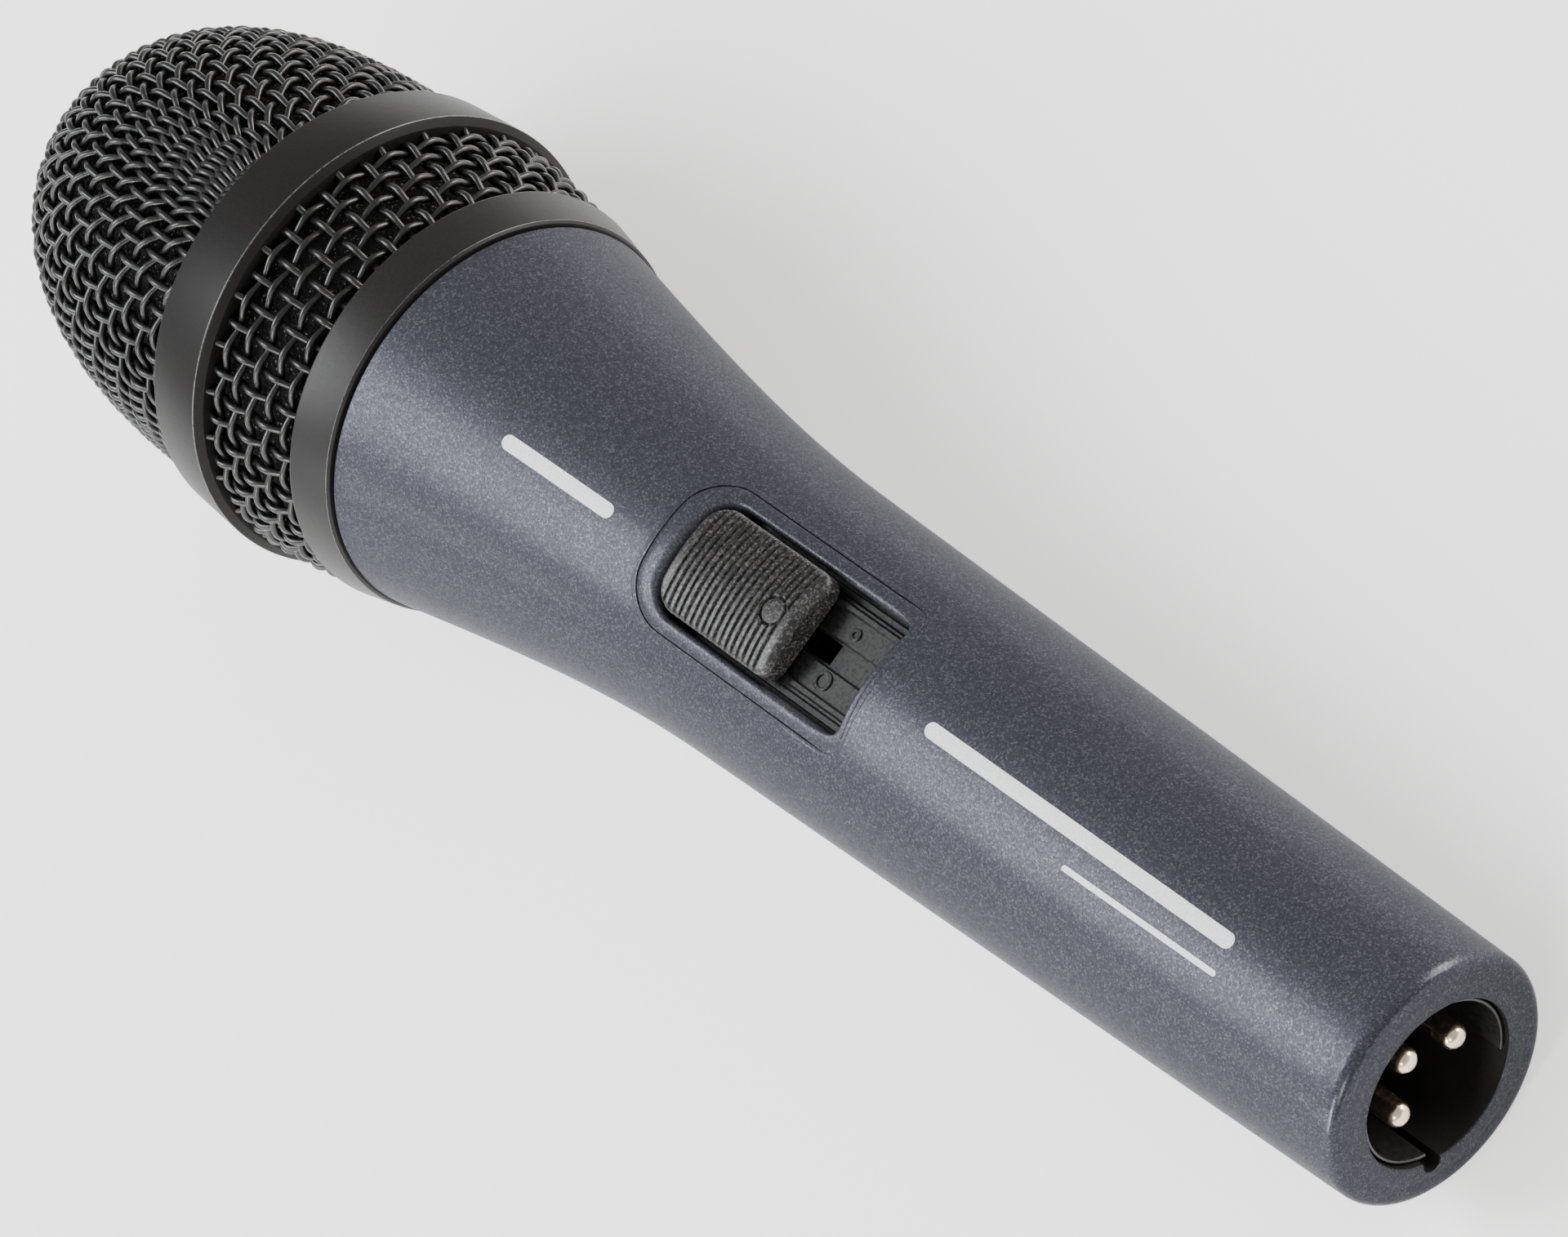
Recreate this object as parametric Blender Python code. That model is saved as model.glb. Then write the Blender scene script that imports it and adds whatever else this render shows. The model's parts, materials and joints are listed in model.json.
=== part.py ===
"""Handheld dynamic vocal microphone with a thumb slide switch, as separate pieces.

The microphone lies along X: the connector end points to -X, the basket to +X, and the switch faces +Z.
The world origin is the centre of the connector insert's face, where the plug of the lead seats.
Lengths below are millimetres, and a "station" is a distance from the tail rim along the microphone.
"""

import math

import bmesh
import bpy
from mathutils import Matrix, Vector

MM = 0.001
SEAT = 16.2                 # tail rim to the face of the connector insert
GAP = 0.3                   # clearance between neighbouring pieces
ROUND = 32                  # sides of a large turned piece
RING_SIDES = 24             # sides of the mid ring, on whose flats the microphone lies
MEDIUM_ROUND = 24           # sides of an inner turned piece
SMALL_ROUND = 16            # sides of a small turned piece

# handle
BORE_R = 8.15               # plug bore at the tail
TAIL_FACE_R = 11.0          # outer edge of the flat ring at the tail
TAIL_EDGE = 1.1             # how far forward the rounded tail edge reaches
TAIL_R = 12.11              # radius that the straight taper has at the tail rim
TAPER = 0.0275              # radius gained per millimetre along the grip
FLARE_START = 86.0
HANDLE_END = 129.4
HANDLE_END_R = 20.4
FLARE_END_SLOPE = 0.19
WALL = 1.7
BORE_END = 26.0
NECK_END = 137.0
NECK_R = 17.6
NECK_INNER_R = 15.6
CAVITY_START = 28.5         # where the hollow behind the bore reaches its full width
SET_SCREW_STATION = 20.2
SET_SCREW_R = 1.1
SET_SCREW_ENDS = (-12.2, -8.3)
KEYWAY_R = 1.0
KEYWAY_ANGLE = math.radians(-47)

# switch window
WINDOW_TAIL = 64.0
WINDOW_HEAD = 90.0
WINDOW_HALF = 5.95
LINE_TAIL = 63.0            # fine line engraved round the window
LINE_HEAD = 92.6
LINE_HALF = 7.75
LINE_WIDTH = 0.3
LINE_DEPTH = 0.2
LINE_CORNERS = (2.2, 4.5)

# thumb switch
CAP_TAIL = 73.2
CAP_HEAD = 89.4
CAP_HALF = 5.5
CAP_TOP_R = 14.9
CAP_BOTTOM = 12.1
CAP_TRAVEL = 8.5
CAP_CORNERS = (1.6, 2.4)    # corner radii at the tail and the head
CAP_ARC = math.radians(52)
GROOVES = 16
GROOVE_PITCH = 0.82
GROOVE_DEPTH = 0.3
GROOVE_HALF = 0.2
FIRST_GROOVE = 1.3          # from the cap's head end
DIMPLE_R = 1.45
DIMPLE_STATION = 76.4
DIMPLE_BOTTOM = 14.6
STEM_STATION = 81.0
STEM_HALF = (1.5, 0.7)
STEM_END = 7.7

# switch mechanism
DECK_TOP = 11.4
DECK_HALF = 5.6
RAIL = (3.9, 4.5)           # inner and outer edge of each rail
RAIL_TOP = 11.8
SIDE_STEP = 4.9
SIDE_STEP_TOP = 10.8
CHANNEL_HALF = 1.3
CHANNEL_BOTTOM = 10.9
FLANGE = (61.0, 94.0, 6.2)  # tail end, head end, half width
FLANGE_TOP = 9.7
PLATE_BOTTOM = 8.6
SLOT_SLACK = 0.5            # the stem slot's clearance past the stem at each end of the travel
SLOT_HALF = 1.05
FORK_HALF = (3.2, 2.4)
FORK_ENDS = (6.9, 8.3)
CAN = (67.5, 87.0, 3.4)
CAN_TOP = 6.6
ACTUATOR_ENDS = (4.4, 7.4)
BOARD = (62.0, 94.5, 6.5)
BOARD_TOP = 2.1
BOARD_THICKNESS = 1.2
SCREW_STATIONS = {"board_screw_rear": 64.0, "board_screw_front": 91.0}
BOSS_R = 1.9
SCREW_R = 0.8
SCREW_HEAD_R = 1.7

# basket
COLLAR_REAR = 129.7
COLLAR_FRONT = 134.8
COLLAR_INNER_R = 17.9
SPIGOT_R = 19.4             # the collar's spigot inside the band
SPIGOT_LENGTH = 2.0
BAND_REAR = 135.1
BAND_FRONT = 146.4
BAND_REAR_R = 21.5
BAND_GROWTH = 1.6           # radius gained from the band's rear to its front
BAND_CROWN = 0.35
RING_REAR = 146.7
RING_FRONT = 154.7
RING_R = 24.06
RING_INNER_R = 21.4
DOME_REAR = 155.0
DOME_R = 22.55
DOME_LENGTH = 40.2
DOME_LONG_POWER = 2.68
DOME_ROUND_POWER = 2.39
MESH_THICKNESS = 1.5
FOAM_REAR = 137.1
FOAM_REAR_R = 19.9
FOAM_THICKNESS = 2.75
FOAM_GAP = 0.4

# capsule
CAPSULE_REAR = 119.0
CAPSULE_FRONT = 150.0
CAPSULE_R = 12.6
CAPSULE_INNER_R = 11.9
CAPSULE_REAR_HOLE_R = 5.0
MOTOR_REAR = 131.0
POT_R = 11.5
POT_DEPTH = 12.0
MAGNET_R = 7.0
POLE_R = 7.4
COIL_R = (7.75, 8.25)       # voice coil, inner and outer
PLATE_INNER_R = 8.6
FILM_THICKNESS = 0.3
FILM_REAR = 147.3
GRILLE_FRONT = 152.6
GRILLE_R = 13.6
GRILLE_FIT_R = 12.9         # the grille and the shock mounts fit round the housing
GRILLE_HOLES = 8
MOUNT_R = 15.2              # shock mounts in the handle's neck
TERMINAL_Y = 3.5
TERMINAL_REAR = 113.6

# connector
INSERT_DEPTH = 8.0
SLEEVE_REAR = 0.6
PIN_R = 1.2
PIN_TIP = 0.7
PIN_TAIL = 31.0
INSERT_R = 7.95
SLEEVE_INNER_R = 7.65
PINS = {"pin_1": (-4.0, 0.0), "pin_2": (4.0, 0.0), "pin_3": (0.0, 3.9)}
SPRING_HALF = 1.5
SPRING_ENDS = (-7.7, -2.4)
SPRING_THICKNESS = 0.4
SPRING_LEG = 7.0
LEAD_R = 0.6


# ---------------------------------------------------------------- scene and materials

def clear_scene():
    for item in list(bpy.data.objects):
        bpy.data.objects.remove(item, do_unlink=True)


def material(name, color, roughness, metallic=0.0):
    made = bpy.data.materials.get(name)
    if made:
        return made
    made = bpy.data.materials.new(name)
    made.use_nodes = True
    shader = made.node_tree.nodes["Principled BSDF"]
    shader.inputs["Base Color"].default_value = (*color, 1.0)
    shader.inputs["Roughness"].default_value = roughness
    shader.inputs["Metallic"].default_value = metallic
    return made


FINISHES = {
    "handle_paint": ((0.07, 0.085, 0.12), 0.45, 0.6),
    "black_paint": ((0.018, 0.018, 0.019), 0.42, 0.2),
    "wire_paint": ((0.02, 0.02, 0.021), 0.35, 0.3),
    "foam": ((0.012, 0.012, 0.012), 0.95, 0.0),
    "black_plastic": ((0.015, 0.015, 0.016), 0.5, 0.0),
    "rubber": ((0.02, 0.02, 0.02), 0.8, 0.0),
    "steel": ((0.45, 0.45, 0.46), 0.35, 1.0),
    "magnet": ((0.2, 0.2, 0.22), 0.4, 1.0),
    "copper": ((0.7, 0.32, 0.15), 0.35, 1.0),
    "film": ((0.75, 0.7, 0.55), 0.3, 0.0),
    "felt": ((0.05, 0.05, 0.05), 0.95, 0.0),
    "board": ((0.05, 0.2, 0.08), 0.5, 0.0),
    "pin_plating": ((0.85, 0.75, 0.6), 0.2, 1.0),
    "lead_red": ((0.5, 0.03, 0.03), 0.5, 0.0),
    "lead_blue": ((0.03, 0.08, 0.4), 0.5, 0.0),
    "lead_black": ((0.02, 0.02, 0.02), 0.5, 0.0),
}


def finish(obj, slot):
    color, roughness, metallic = FINISHES[slot]
    obj.data.materials.clear()
    obj.data.materials.append(material(slot, color, roughness, metallic))


def make_frame():
    """An empty at the tail rim's centre, which carries every piece."""
    frame = bpy.data.objects.new("tail_rim_frame", None)
    frame.location = (-SEAT * MM, 0.0, 0.0)
    bpy.context.scene.collection.objects.link(frame)
    return frame


# ---------------------------------------------------------------- shape tools

def add_piece(name, mesh_data, slot, frame, origin=(0.0, 0.0, 0.0)):
    """Links a mesh made of bmesh data in millimetres, with its own origin given in the frame."""
    shift = Vector(origin)
    bmesh.ops.translate(mesh_data, verts=mesh_data.verts, vec=-shift)
    bmesh.ops.scale(mesh_data, verts=mesh_data.verts, vec=(MM, MM, MM))
    bmesh.ops.recalc_face_normals(mesh_data, faces=mesh_data.faces)
    mesh = bpy.data.meshes.new(name)
    mesh_data.to_mesh(mesh)
    mesh_data.free()
    obj = bpy.data.objects.new(name, mesh)
    bpy.context.scene.collection.objects.link(obj)
    obj.parent = frame
    obj.location = shift * MM
    finish(obj, slot)
    mesh.shade_smooth()
    mesh.set_sharp_from_angle(angle=math.radians(35))
    return obj


def turned_mesh(outline, sides, center=(0.0, 0.0), arc=math.tau, start=0.0):
    """Spins an outline of (station, radius) points about a line along X through center.

    After a full turn the flats lie at the stated radius, and four of them face +-Y and +-Z.
    """
    data = bmesh.new()
    half = math.pi / sides if arc == math.tau else 0.0
    lean = Vector((0.0, math.cos(start + half), math.sin(start + half))) / math.cos(half)
    middle = Vector((0.0, *center))
    points = [data.verts.new(middle + Vector((x, 0, 0)) + lean * r) for x, r in outline]
    closed = outline[0][1] > 0
    edges = [data.edges.new(pair) for pair in zip(points, points[1:])]
    if closed:
        edges.append(data.edges.new((points[-1], points[0])))
    if arc != math.tau:
        data.faces.new(points)
    bmesh.ops.spin(data, geom=points + edges, cent=middle, axis=(1, 0, 0), angle=arc,
                   steps=sides, use_merge=arc == math.tau)
    if arc != math.tau:
        bmesh.ops.holes_fill(data, edges=[e for e in data.edges if e.is_boundary], sides=0)
    bmesh.ops.remove_doubles(data, verts=data.verts, dist=1e-5)
    return data


def turned(name, outline, slot, frame, sides=ROUND, center=(0.0, 0.0)):
    return add_piece(name, turned_mesh(outline, sides, center), slot, frame)


def tube_outline(rear, front, outer, inner):
    return [(rear, inner), (rear, outer), (front, outer), (front, inner)]


def disc_outline(rear, front, radius):
    return [(rear, 0.0), (rear, radius), (front, radius), (front, 0.0)]


def box_mesh(low, high):
    """A box between two corners."""
    data = bmesh.new()
    bmesh.ops.create_cube(data, size=1.0)
    size = [b - a for a, b in zip(low, high)]
    middle = [(a + b) / 2 for a, b in zip(low, high)]
    bmesh.ops.scale(data, verts=data.verts, vec=size)
    bmesh.ops.translate(data, verts=data.verts, vec=middle)
    return data


def rounded_outline(tail, head, half, tail_radius, head_radius, steps=5):
    """A rectangle seen from +Z with rounded corners, as (station, y) points."""
    corners = [
        (head - head_radius, half - head_radius, head_radius, 0.0),
        (tail + tail_radius, half - tail_radius, tail_radius, 0.5),
        (tail + tail_radius, tail_radius - half, tail_radius, 1.0),
        (head - head_radius, head_radius - half, head_radius, 1.5),
    ]
    points = []
    for x, y, radius, turn in corners:
        for step in range(steps + 1):
            angle = math.pi * (turn + 0.5 * step / steps)
            points.append((x + radius * math.cos(angle), y + radius * math.sin(angle)))
    return points


def bar_mesh(tail, head, half, low, high):
    """A box from tail to head that reaches as far to each side of the switch's middle."""
    return box_mesh((tail, -half, low), (head, half, high))


def prism_mesh(outline, low, high):
    """Raises a flat outline of (station, y) points from z = low to z = high."""
    data = bmesh.new()
    face = data.faces.new([data.verts.new((x, y, low)) for x, y in outline])
    raised = bmesh.ops.extrude_face_region(data, geom=[face])["geom"]
    tops = [item for item in raised if isinstance(item, bmesh.types.BMVert)]
    bmesh.ops.translate(data, verts=tops, vec=(0, 0, high - low))
    return data


def upright_mesh(x, y, low, high, radius, sides=SMALL_ROUND):
    """A cylinder along Z."""
    place = Matrix.Translation((x, y, (low + high) / 2))
    data = bmesh.new()
    bmesh.ops.create_cone(data, cap_ends=True, segments=sides, radius1=radius, radius2=radius,
                          depth=high - low, matrix=place)
    return data


def helper(name, data, frame):
    """A cutter or an added block, kept out of the renders."""
    obj = add_piece(name, data, "black_plastic", frame)
    obj.hide_render = True
    obj.display_type = "WIRE"
    return obj


def combine(obj, other, operation):
    step = obj.modifiers.new(other.name, "BOOLEAN")
    step.operation = operation
    step.solver = "EXACT"
    step.object = other


# ---------------------------------------------------------------- outlines shared by pieces

def flare(share, start, end, start_slope, end_slope, span):
    """Cubic blend between two radii with given slopes."""
    s2, s3 = share ** 2, share ** 3
    return ((2 * s3 - 3 * s2 + 1) * start + (s3 - 2 * s2 + share) * span * start_slope
            + (3 * s2 - 2 * s3) * end + (s3 - s2) * span * end_slope)


def handle_radius(station):
    if station <= FLARE_START:
        return TAIL_R + TAPER * station
    span = HANDLE_END - FLARE_START
    start = TAIL_R + TAPER * FLARE_START
    return flare((station - FLARE_START) / span, start, HANDLE_END_R, TAPER, FLARE_END_SLOPE, span)


def dome_points(rear, radius, length, steps):
    """Outline of a blunt dome from its rim to its tip."""
    points = []
    for step in range(steps + 1):
        forward = math.sin(math.pi / 2 * step / steps)
        height = (1 - forward ** DOME_LONG_POWER) ** (1 / DOME_ROUND_POWER)
        points.append((rear + length * forward, radius * height if step < steps else 0.0))
    return points


def band_radius(station):
    share = (station - BAND_REAR) / (BAND_FRONT - BAND_REAR)
    return BAND_REAR_R + BAND_GROWTH * share + BAND_CROWN * math.sin(math.pi * share)


# ---------------------------------------------------------------- handle

def handle_body(frame):
    rim = [(0.0, BORE_R), (0.0, TAIL_FACE_R), (0.35, TAIL_FACE_R + 0.7), (TAIL_EDGE, TAIL_R + TAPER)]
    grip = [(x, handle_radius(x)) for x in (FLARE_START / 2, FLARE_START)]
    span = HANDLE_END - FLARE_START
    stations = [FLARE_START + span * k / 7 for k in range(1, 8)]
    bell = [(x, handle_radius(x)) for x in stations]
    neck = [(HANDLE_END, NECK_R), (NECK_END - 0.5, NECK_R), (NECK_END, NECK_R - 0.5),
            (NECK_END, NECK_INNER_R)]
    walls = [(x, handle_radius(x) - WALL) for x in (104.0, FLARE_START, CAVITY_START)]
    cavity = [(117.0, NECK_INNER_R), *walls, (BORE_END, BORE_R)]
    body = turned("handle_body", rim + grip + bell + neck + cavity, "handle_paint", frame)

    ends = (LINE_TAIL - 1.0, FLARE_START, LINE_HEAD + 1.0)
    floor = [(x, handle_radius(x) - LINE_DEPTH) for x in ends]
    shell = floor + [(ends[2], 20.0), (ends[0], 20.0)]
    line = helper("window_line", turned_mesh(shell, ROUND), frame)
    for grow, operation in ((0.0, "INTERSECT"), (LINE_WIDTH, "DIFFERENCE")):
        corners = [radius - grow for radius in LINE_CORNERS]
        outline = rounded_outline(LINE_TAIL + grow, LINE_HEAD - grow, LINE_HALF - grow, *corners, 3)
        block = prism_mesh(outline, 2.0 - grow, 22.0 + grow)
        combine(line, helper(f"line_{operation.lower()}", block, frame), operation)
    combine(body, line, "DIFFERENCE")

    window = rounded_outline(WINDOW_TAIL, WINDOW_HEAD, WINDOW_HALF, 0.6, 3.0)
    combine(body, helper("window_cutter", prism_mesh(window, 6.0, 20.0), frame), "DIFFERENCE")

    away = BORE_R + 0.1
    notch = (away * math.cos(KEYWAY_ANGLE), away * math.sin(KEYWAY_ANGLE))
    keyway = turned_mesh(disc_outline(-1.0, SEAT, KEYWAY_R), SMALL_ROUND, notch)
    combine(body, helper("keyway_cutter", keyway, frame), "DIFFERENCE")
    screw_hole = upright_mesh(SET_SCREW_STATION, 0.0, -16.0, -6.0, SET_SCREW_R + 0.25)
    combine(body, helper("set_screw_hole", screw_hole, frame), "DIFFERENCE")


# ---------------------------------------------------------------- connector

def connector(frame):
    rear = SEAT + INSERT_DEPTH
    cup = [(SEAT, 0.0), (SEAT, SLEEVE_INNER_R), (SLEEVE_REAR, SLEEVE_INNER_R), (SLEEVE_REAR, INSERT_R),
           (rear, INSERT_R), (rear, 0.0)]
    insert = turned("connector_insert", cup, "black_plastic", frame)
    wedge = bmesh.new()
    for x in (-1.0, SEAT - 0.4):
        for y, z in ((0.0, 0.0), (-10.0, -10.0), (10.0, -10.0)):
            wedge.verts.new((x, y, z))
    bmesh.ops.convex_hull(wedge, input=wedge.verts)
    combine(insert, helper("sleeve_relief", wedge, frame), "DIFFERENCE")
    for name, place in PINS.items():
        hole = turned_mesh(disc_outline(SEAT - 2.0, rear + 2.0, PIN_R + 0.15), 12, place)
        combine(insert, helper(name + "_hole", hole, frame), "DIFFERENCE")
        tip = [(PIN_TIP, 0.0), (PIN_TIP + 0.2, 0.6), (PIN_TIP + 0.6, 1.0), (PIN_TIP + 1.2, PIN_R)]
        turned(name, tip + [(PIN_TAIL, PIN_R), (PIN_TAIL, 0.0)], "pin_plating", frame, 12, place)

    low, high = SPRING_ENDS
    start = rear + GAP
    spring = bar_mesh(start, start + SPRING_THICKNESS, SPRING_HALF, low, high)
    strip = add_piece("ground_spring", spring, "steel", frame)
    leg = bar_mesh(start + SPRING_THICKNESS / 2, rear + SPRING_LEG, SPRING_HALF, low, low + SPRING_THICKNESS)
    combine(strip, helper("ground_spring_leg", leg, frame), "UNION")

    low, high = SET_SCREW_ENDS
    shank = upright_mesh(SET_SCREW_STATION, 0.0, low, high, SET_SCREW_R)
    screw = add_piece("set_screw", shank, "steel", frame)
    slot = bar_mesh(SET_SCREW_STATION - 2.0, SET_SCREW_STATION + 2.0, 0.2, low - 1.0, low + 0.6)
    combine(screw, helper("set_screw_slot", slot, frame), "DIFFERENCE")


# ---------------------------------------------------------------- switch

def stem_slot(half, low, high):
    """Room for the stem from one end of its travel to the other."""
    reach = STEM_HALF[0] + SLOT_SLACK
    return bar_mesh(STEM_STATION - CAP_TRAVEL - reach, STEM_STATION + reach, half, low, high)


def track_plate(frame):
    tail, head, half = FLANGE
    flange = bar_mesh(tail, head, half, PLATE_BOTTOM, FLANGE_TOP)
    plate = add_piece("track_plate", flange, "black_plastic", frame)
    tail, head = WINDOW_TAIL + GAP, WINDOW_HEAD - GAP
    deck = bar_mesh(tail, head, DECK_HALF, FLANGE_TOP - 0.5, DECK_TOP)
    combine(plate, helper("deck_block", deck, frame), "UNION")
    for side in (-1, 1):
        low, high = sorted(side * edge for edge in RAIL)
        rail = box_mesh((tail, low, DECK_TOP - 0.4), (head, high, RAIL_TOP))
        combine(plate, helper(f"rail_{side}", rail, frame), "UNION")
        low, high = sorted((side * SIDE_STEP, side * (DECK_HALF + 1.0)))
        step = box_mesh((tail - 1.0, low, SIDE_STEP_TOP), (head + 1.0, high, DECK_TOP + 1.0))
        combine(plate, helper(f"side_step_{side}", step, frame), "DIFFERENCE")
    for name, x in SCREW_STATIONS.items():
        boss = upright_mesh(x, 0.0, BOARD_TOP + GAP, PLATE_BOTTOM + 0.5, BOSS_R)
        combine(plate, helper(name + "_boss", boss, frame), "UNION")
        hole = upright_mesh(x, 0.0, 0.0, 7.0, SCREW_R + 0.2, 12)
        combine(plate, helper(name + "_bore", hole, frame), "DIFFERENCE")
    channel = bar_mesh(tail - 1.0, head + 1.0, CHANNEL_HALF, CHANNEL_BOTTOM, DECK_TOP + 1.0)
    combine(plate, helper("channel_cutter", channel, frame), "DIFFERENCE")
    slot = stem_slot(SLOT_HALF, PLATE_BOTTOM - 1.0, DECK_TOP + 1.0)
    combine(plate, helper("stem_slot", slot, frame), "DIFFERENCE")


def thumb_slider(frame):
    """The ribbed cap with its stem, whose origin lies on the line it slides along."""
    ridge = [(CAP_TAIL - 1.0, 11.0), (CAP_TAIL - 1.0, CAP_TOP_R - 0.6), (CAP_TAIL + 0.8, CAP_TOP_R)]
    first = CAP_HEAD - FIRST_GROOVE
    for groove in reversed(range(GROOVES)):
        middle = first - groove * GROOVE_PITCH
        ridge += [(middle - GROOVE_HALF, CAP_TOP_R), (middle, CAP_TOP_R - GROOVE_DEPTH),
                  (middle + GROOVE_HALF, CAP_TOP_R)]
    ridge += [(CAP_HEAD + 1.0, CAP_TOP_R), (CAP_HEAD + 1.0, 11.0)]
    data = turned_mesh(ridge, 5, arc=CAP_ARC, start=(math.pi - CAP_ARC) / 2)
    origin = (STEM_STATION, 0.0, CAP_BOTTOM)
    cap = add_piece("thumb_slider", data, "black_plastic", frame, origin)
    outline = rounded_outline(CAP_TAIL, CAP_HEAD, CAP_HALF, *CAP_CORNERS, 4)
    combine(cap, helper("cap_outline", prism_mesh(outline, CAP_BOTTOM, 18.0), frame), "INTERSECT")
    along, across = STEM_HALF
    stem = bar_mesh(STEM_STATION - along, STEM_STATION + along, across, STEM_END, CAP_BOTTOM + 0.6)
    combine(cap, helper("cap_stem", stem, frame), "UNION")
    dimple = upright_mesh(DIMPLE_STATION, 0.0, DIMPLE_BOTTOM, 16.0, DIMPLE_R)
    combine(cap, helper("cap_dimple", dimple, frame), "DIFFERENCE")


def switch_works(frame):
    origin = (STEM_STATION, 0.0, CAP_BOTTOM)
    along, across = STEM_HALF
    reach, half = FORK_HALF
    clip = bar_mesh(STEM_STATION - reach, STEM_STATION + reach, half, *FORK_ENDS)
    fork = add_piece("slider_fork", clip, "black_plastic", frame, origin)
    pocket = bar_mesh(STEM_STATION - along - GAP, STEM_STATION + along + GAP, across + GAP, 6.0, 9.0)
    combine(fork, helper("fork_pocket", pocket, frame), "DIFFERENCE")

    tail, head, half = CAN
    can = add_piece("switch_can", bar_mesh(tail, head, half, BOARD_TOP + GAP, CAN_TOP), "steel", frame)
    combine(can, helper("can_slot", stem_slot(across + GAP, 4.0, 8.0), frame), "DIFFERENCE")
    nub = bar_mesh(STEM_STATION - along, STEM_STATION + along, across, *ACTUATOR_ENDS)
    add_piece("switch_actuator", nub, "black_plastic", frame, origin)

    low = BOARD_TOP - BOARD_THICKNESS
    tail, head, half = BOARD
    board = add_piece("switch_board", bar_mesh(tail, head, half, low, BOARD_TOP), "board", frame)
    under = low - GAP
    for name, x in SCREW_STATIONS.items():
        hole = upright_mesh(x, 0.0, -1.0, 4.0, SCREW_R + 0.35, 12)
        combine(board, helper(name + "_hole", hole, frame), "DIFFERENCE")
        screw = add_piece(name, upright_mesh(x, 0.0, under - 1.4, under, SCREW_HEAD_R), "steel", frame)
        shank = upright_mesh(x, 0.0, under - 0.5, 6.0, SCREW_R, 12)
        combine(screw, helper(name + "_shank", shank, frame), "UNION")


# ---------------------------------------------------------------- capsule

def capsule(frame):
    base = CAPSULE_REAR + 1.2
    housing = [(CAPSULE_REAR, CAPSULE_REAR_HOLE_R), (CAPSULE_REAR, CAPSULE_R), (CAPSULE_FRONT, CAPSULE_R),
               (CAPSULE_FRONT, CAPSULE_INNER_R), (base, CAPSULE_INNER_R), (base, CAPSULE_REAR_HOLE_R)]
    turned("capsule_housing", housing, "black_plastic", frame, MEDIUM_ROUND)
    turned("hum_coil", tube_outline(122.0, 126.0, 10.5, 6.2), "copper", frame, SMALL_ROUND)

    rear, front = MOTOR_REAR, MOTOR_REAR + POT_DEPTH
    pot = [(rear, 0.0), (rear, POT_R), (front, POT_R), (front, 9.2), (rear + 2.0, 9.2), (rear + 2.0, 0.0)]
    turned("magnet_pot", pot, "steel", frame, MEDIUM_ROUND)
    magnet = disc_outline(rear + 2.0 + GAP, rear + 8.0, MAGNET_R)
    turned("magnet", magnet, "magnet", frame, SMALL_ROUND)
    plate = front + GAP
    turned("pole_piece", disc_outline(rear + 8.0 + GAP, plate + 2.0, POLE_R), "steel", frame, MEDIUM_ROUND)
    turned("top_plate", tube_outline(plate, plate + 2.0, POT_R, PLATE_INNER_R), "steel", frame, MEDIUM_ROUND)
    inner, outer = COIL_R
    coil = tube_outline(plate + 0.2, FILM_REAR - GAP, outer, inner)
    turned("voice_coil", coil, "copper", frame, MEDIUM_ROUND)
    ring = tube_outline(plate + 2.0 + GAP, FILM_REAR - GAP, POT_R, 10.2)
    turned("diaphragm_ring", ring, "black_plastic", frame, MEDIUM_ROUND)

    bulge = [(1.9 * math.cos(math.pi / 2 * k / 3), 8.3 * math.sin(math.pi / 2 * k / 3)) for k in range(4)]
    film = [(FILM_REAR + x, r) for x, r in bulge + [(0.6, 9.6), (0.0, 11.2)]]
    skin = [(x + FILM_THICKNESS, r) for x, r in film]
    turned("diaphragm", skin + film[::-1], "film", frame, MEDIUM_ROUND)

    front, back = GRILLE_FRONT, GRILLE_FRONT - 1.4
    cap = [(front, 0.0), (front, GRILLE_R - 0.6), (front - 0.6, GRILLE_R), (146.0, GRILLE_R),
           (146.0, GRILLE_FIT_R), (back, GRILLE_FIT_R), (back, 0.0)]
    grille = turned("capsule_grille", cap, "black_plastic", frame, MEDIUM_ROUND)
    holes = [(0.0, 0.0, 2.0)]
    for k in range(GRILLE_HOLES):
        turn = math.tau * k / GRILLE_HOLES
        holes.append((8.0 * math.cos(turn), 8.0 * math.sin(turn), 1.4))
    for place, (y, z, radius) in enumerate(holes):
        cutter = turned_mesh(disc_outline(back - 1.0, front + 1.0, radius), 8, (y, z))
        combine(grille, helper(f"grille_hole_{place}", cutter, frame), "DIFFERENCE")
    turned("dust_screen", disc_outline(front + GAP, front + 1.1, CAPSULE_R), "felt", frame, MEDIUM_ROUND)

    lip = NECK_END + GAP
    front_mount = [(134.0, GRILLE_FIT_R), (134.0, MOUNT_R), (lip, MOUNT_R), (lip, MOUNT_R + 2.0),
                   (lip + 2.2, MOUNT_R + 2.0), (lip + 2.2, GRILLE_FIT_R)]
    turned("shock_mount_front", front_mount, "rubber", frame, MEDIUM_ROUND)
    rear_mount = tube_outline(117.6, 121.6, MOUNT_R, GRILLE_FIT_R)
    turned("shock_mount_rear", rear_mount, "rubber", frame, MEDIUM_ROUND)

    board = disc_outline(CAPSULE_REAR - 1.5, CAPSULE_REAR - GAP, 8.0)
    turned("terminal_board", board, "board", frame, SMALL_ROUND)
    for name, side in (("capsule_terminal_1", -1), ("capsule_terminal_2", 1)):
        post = disc_outline(TERMINAL_REAR, CAPSULE_REAR - 1.5 - GAP, 0.7)
        turned(name, post, "pin_plating", frame, 12, (side * TERMINAL_Y, 0.0))


# ---------------------------------------------------------------- leads

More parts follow.
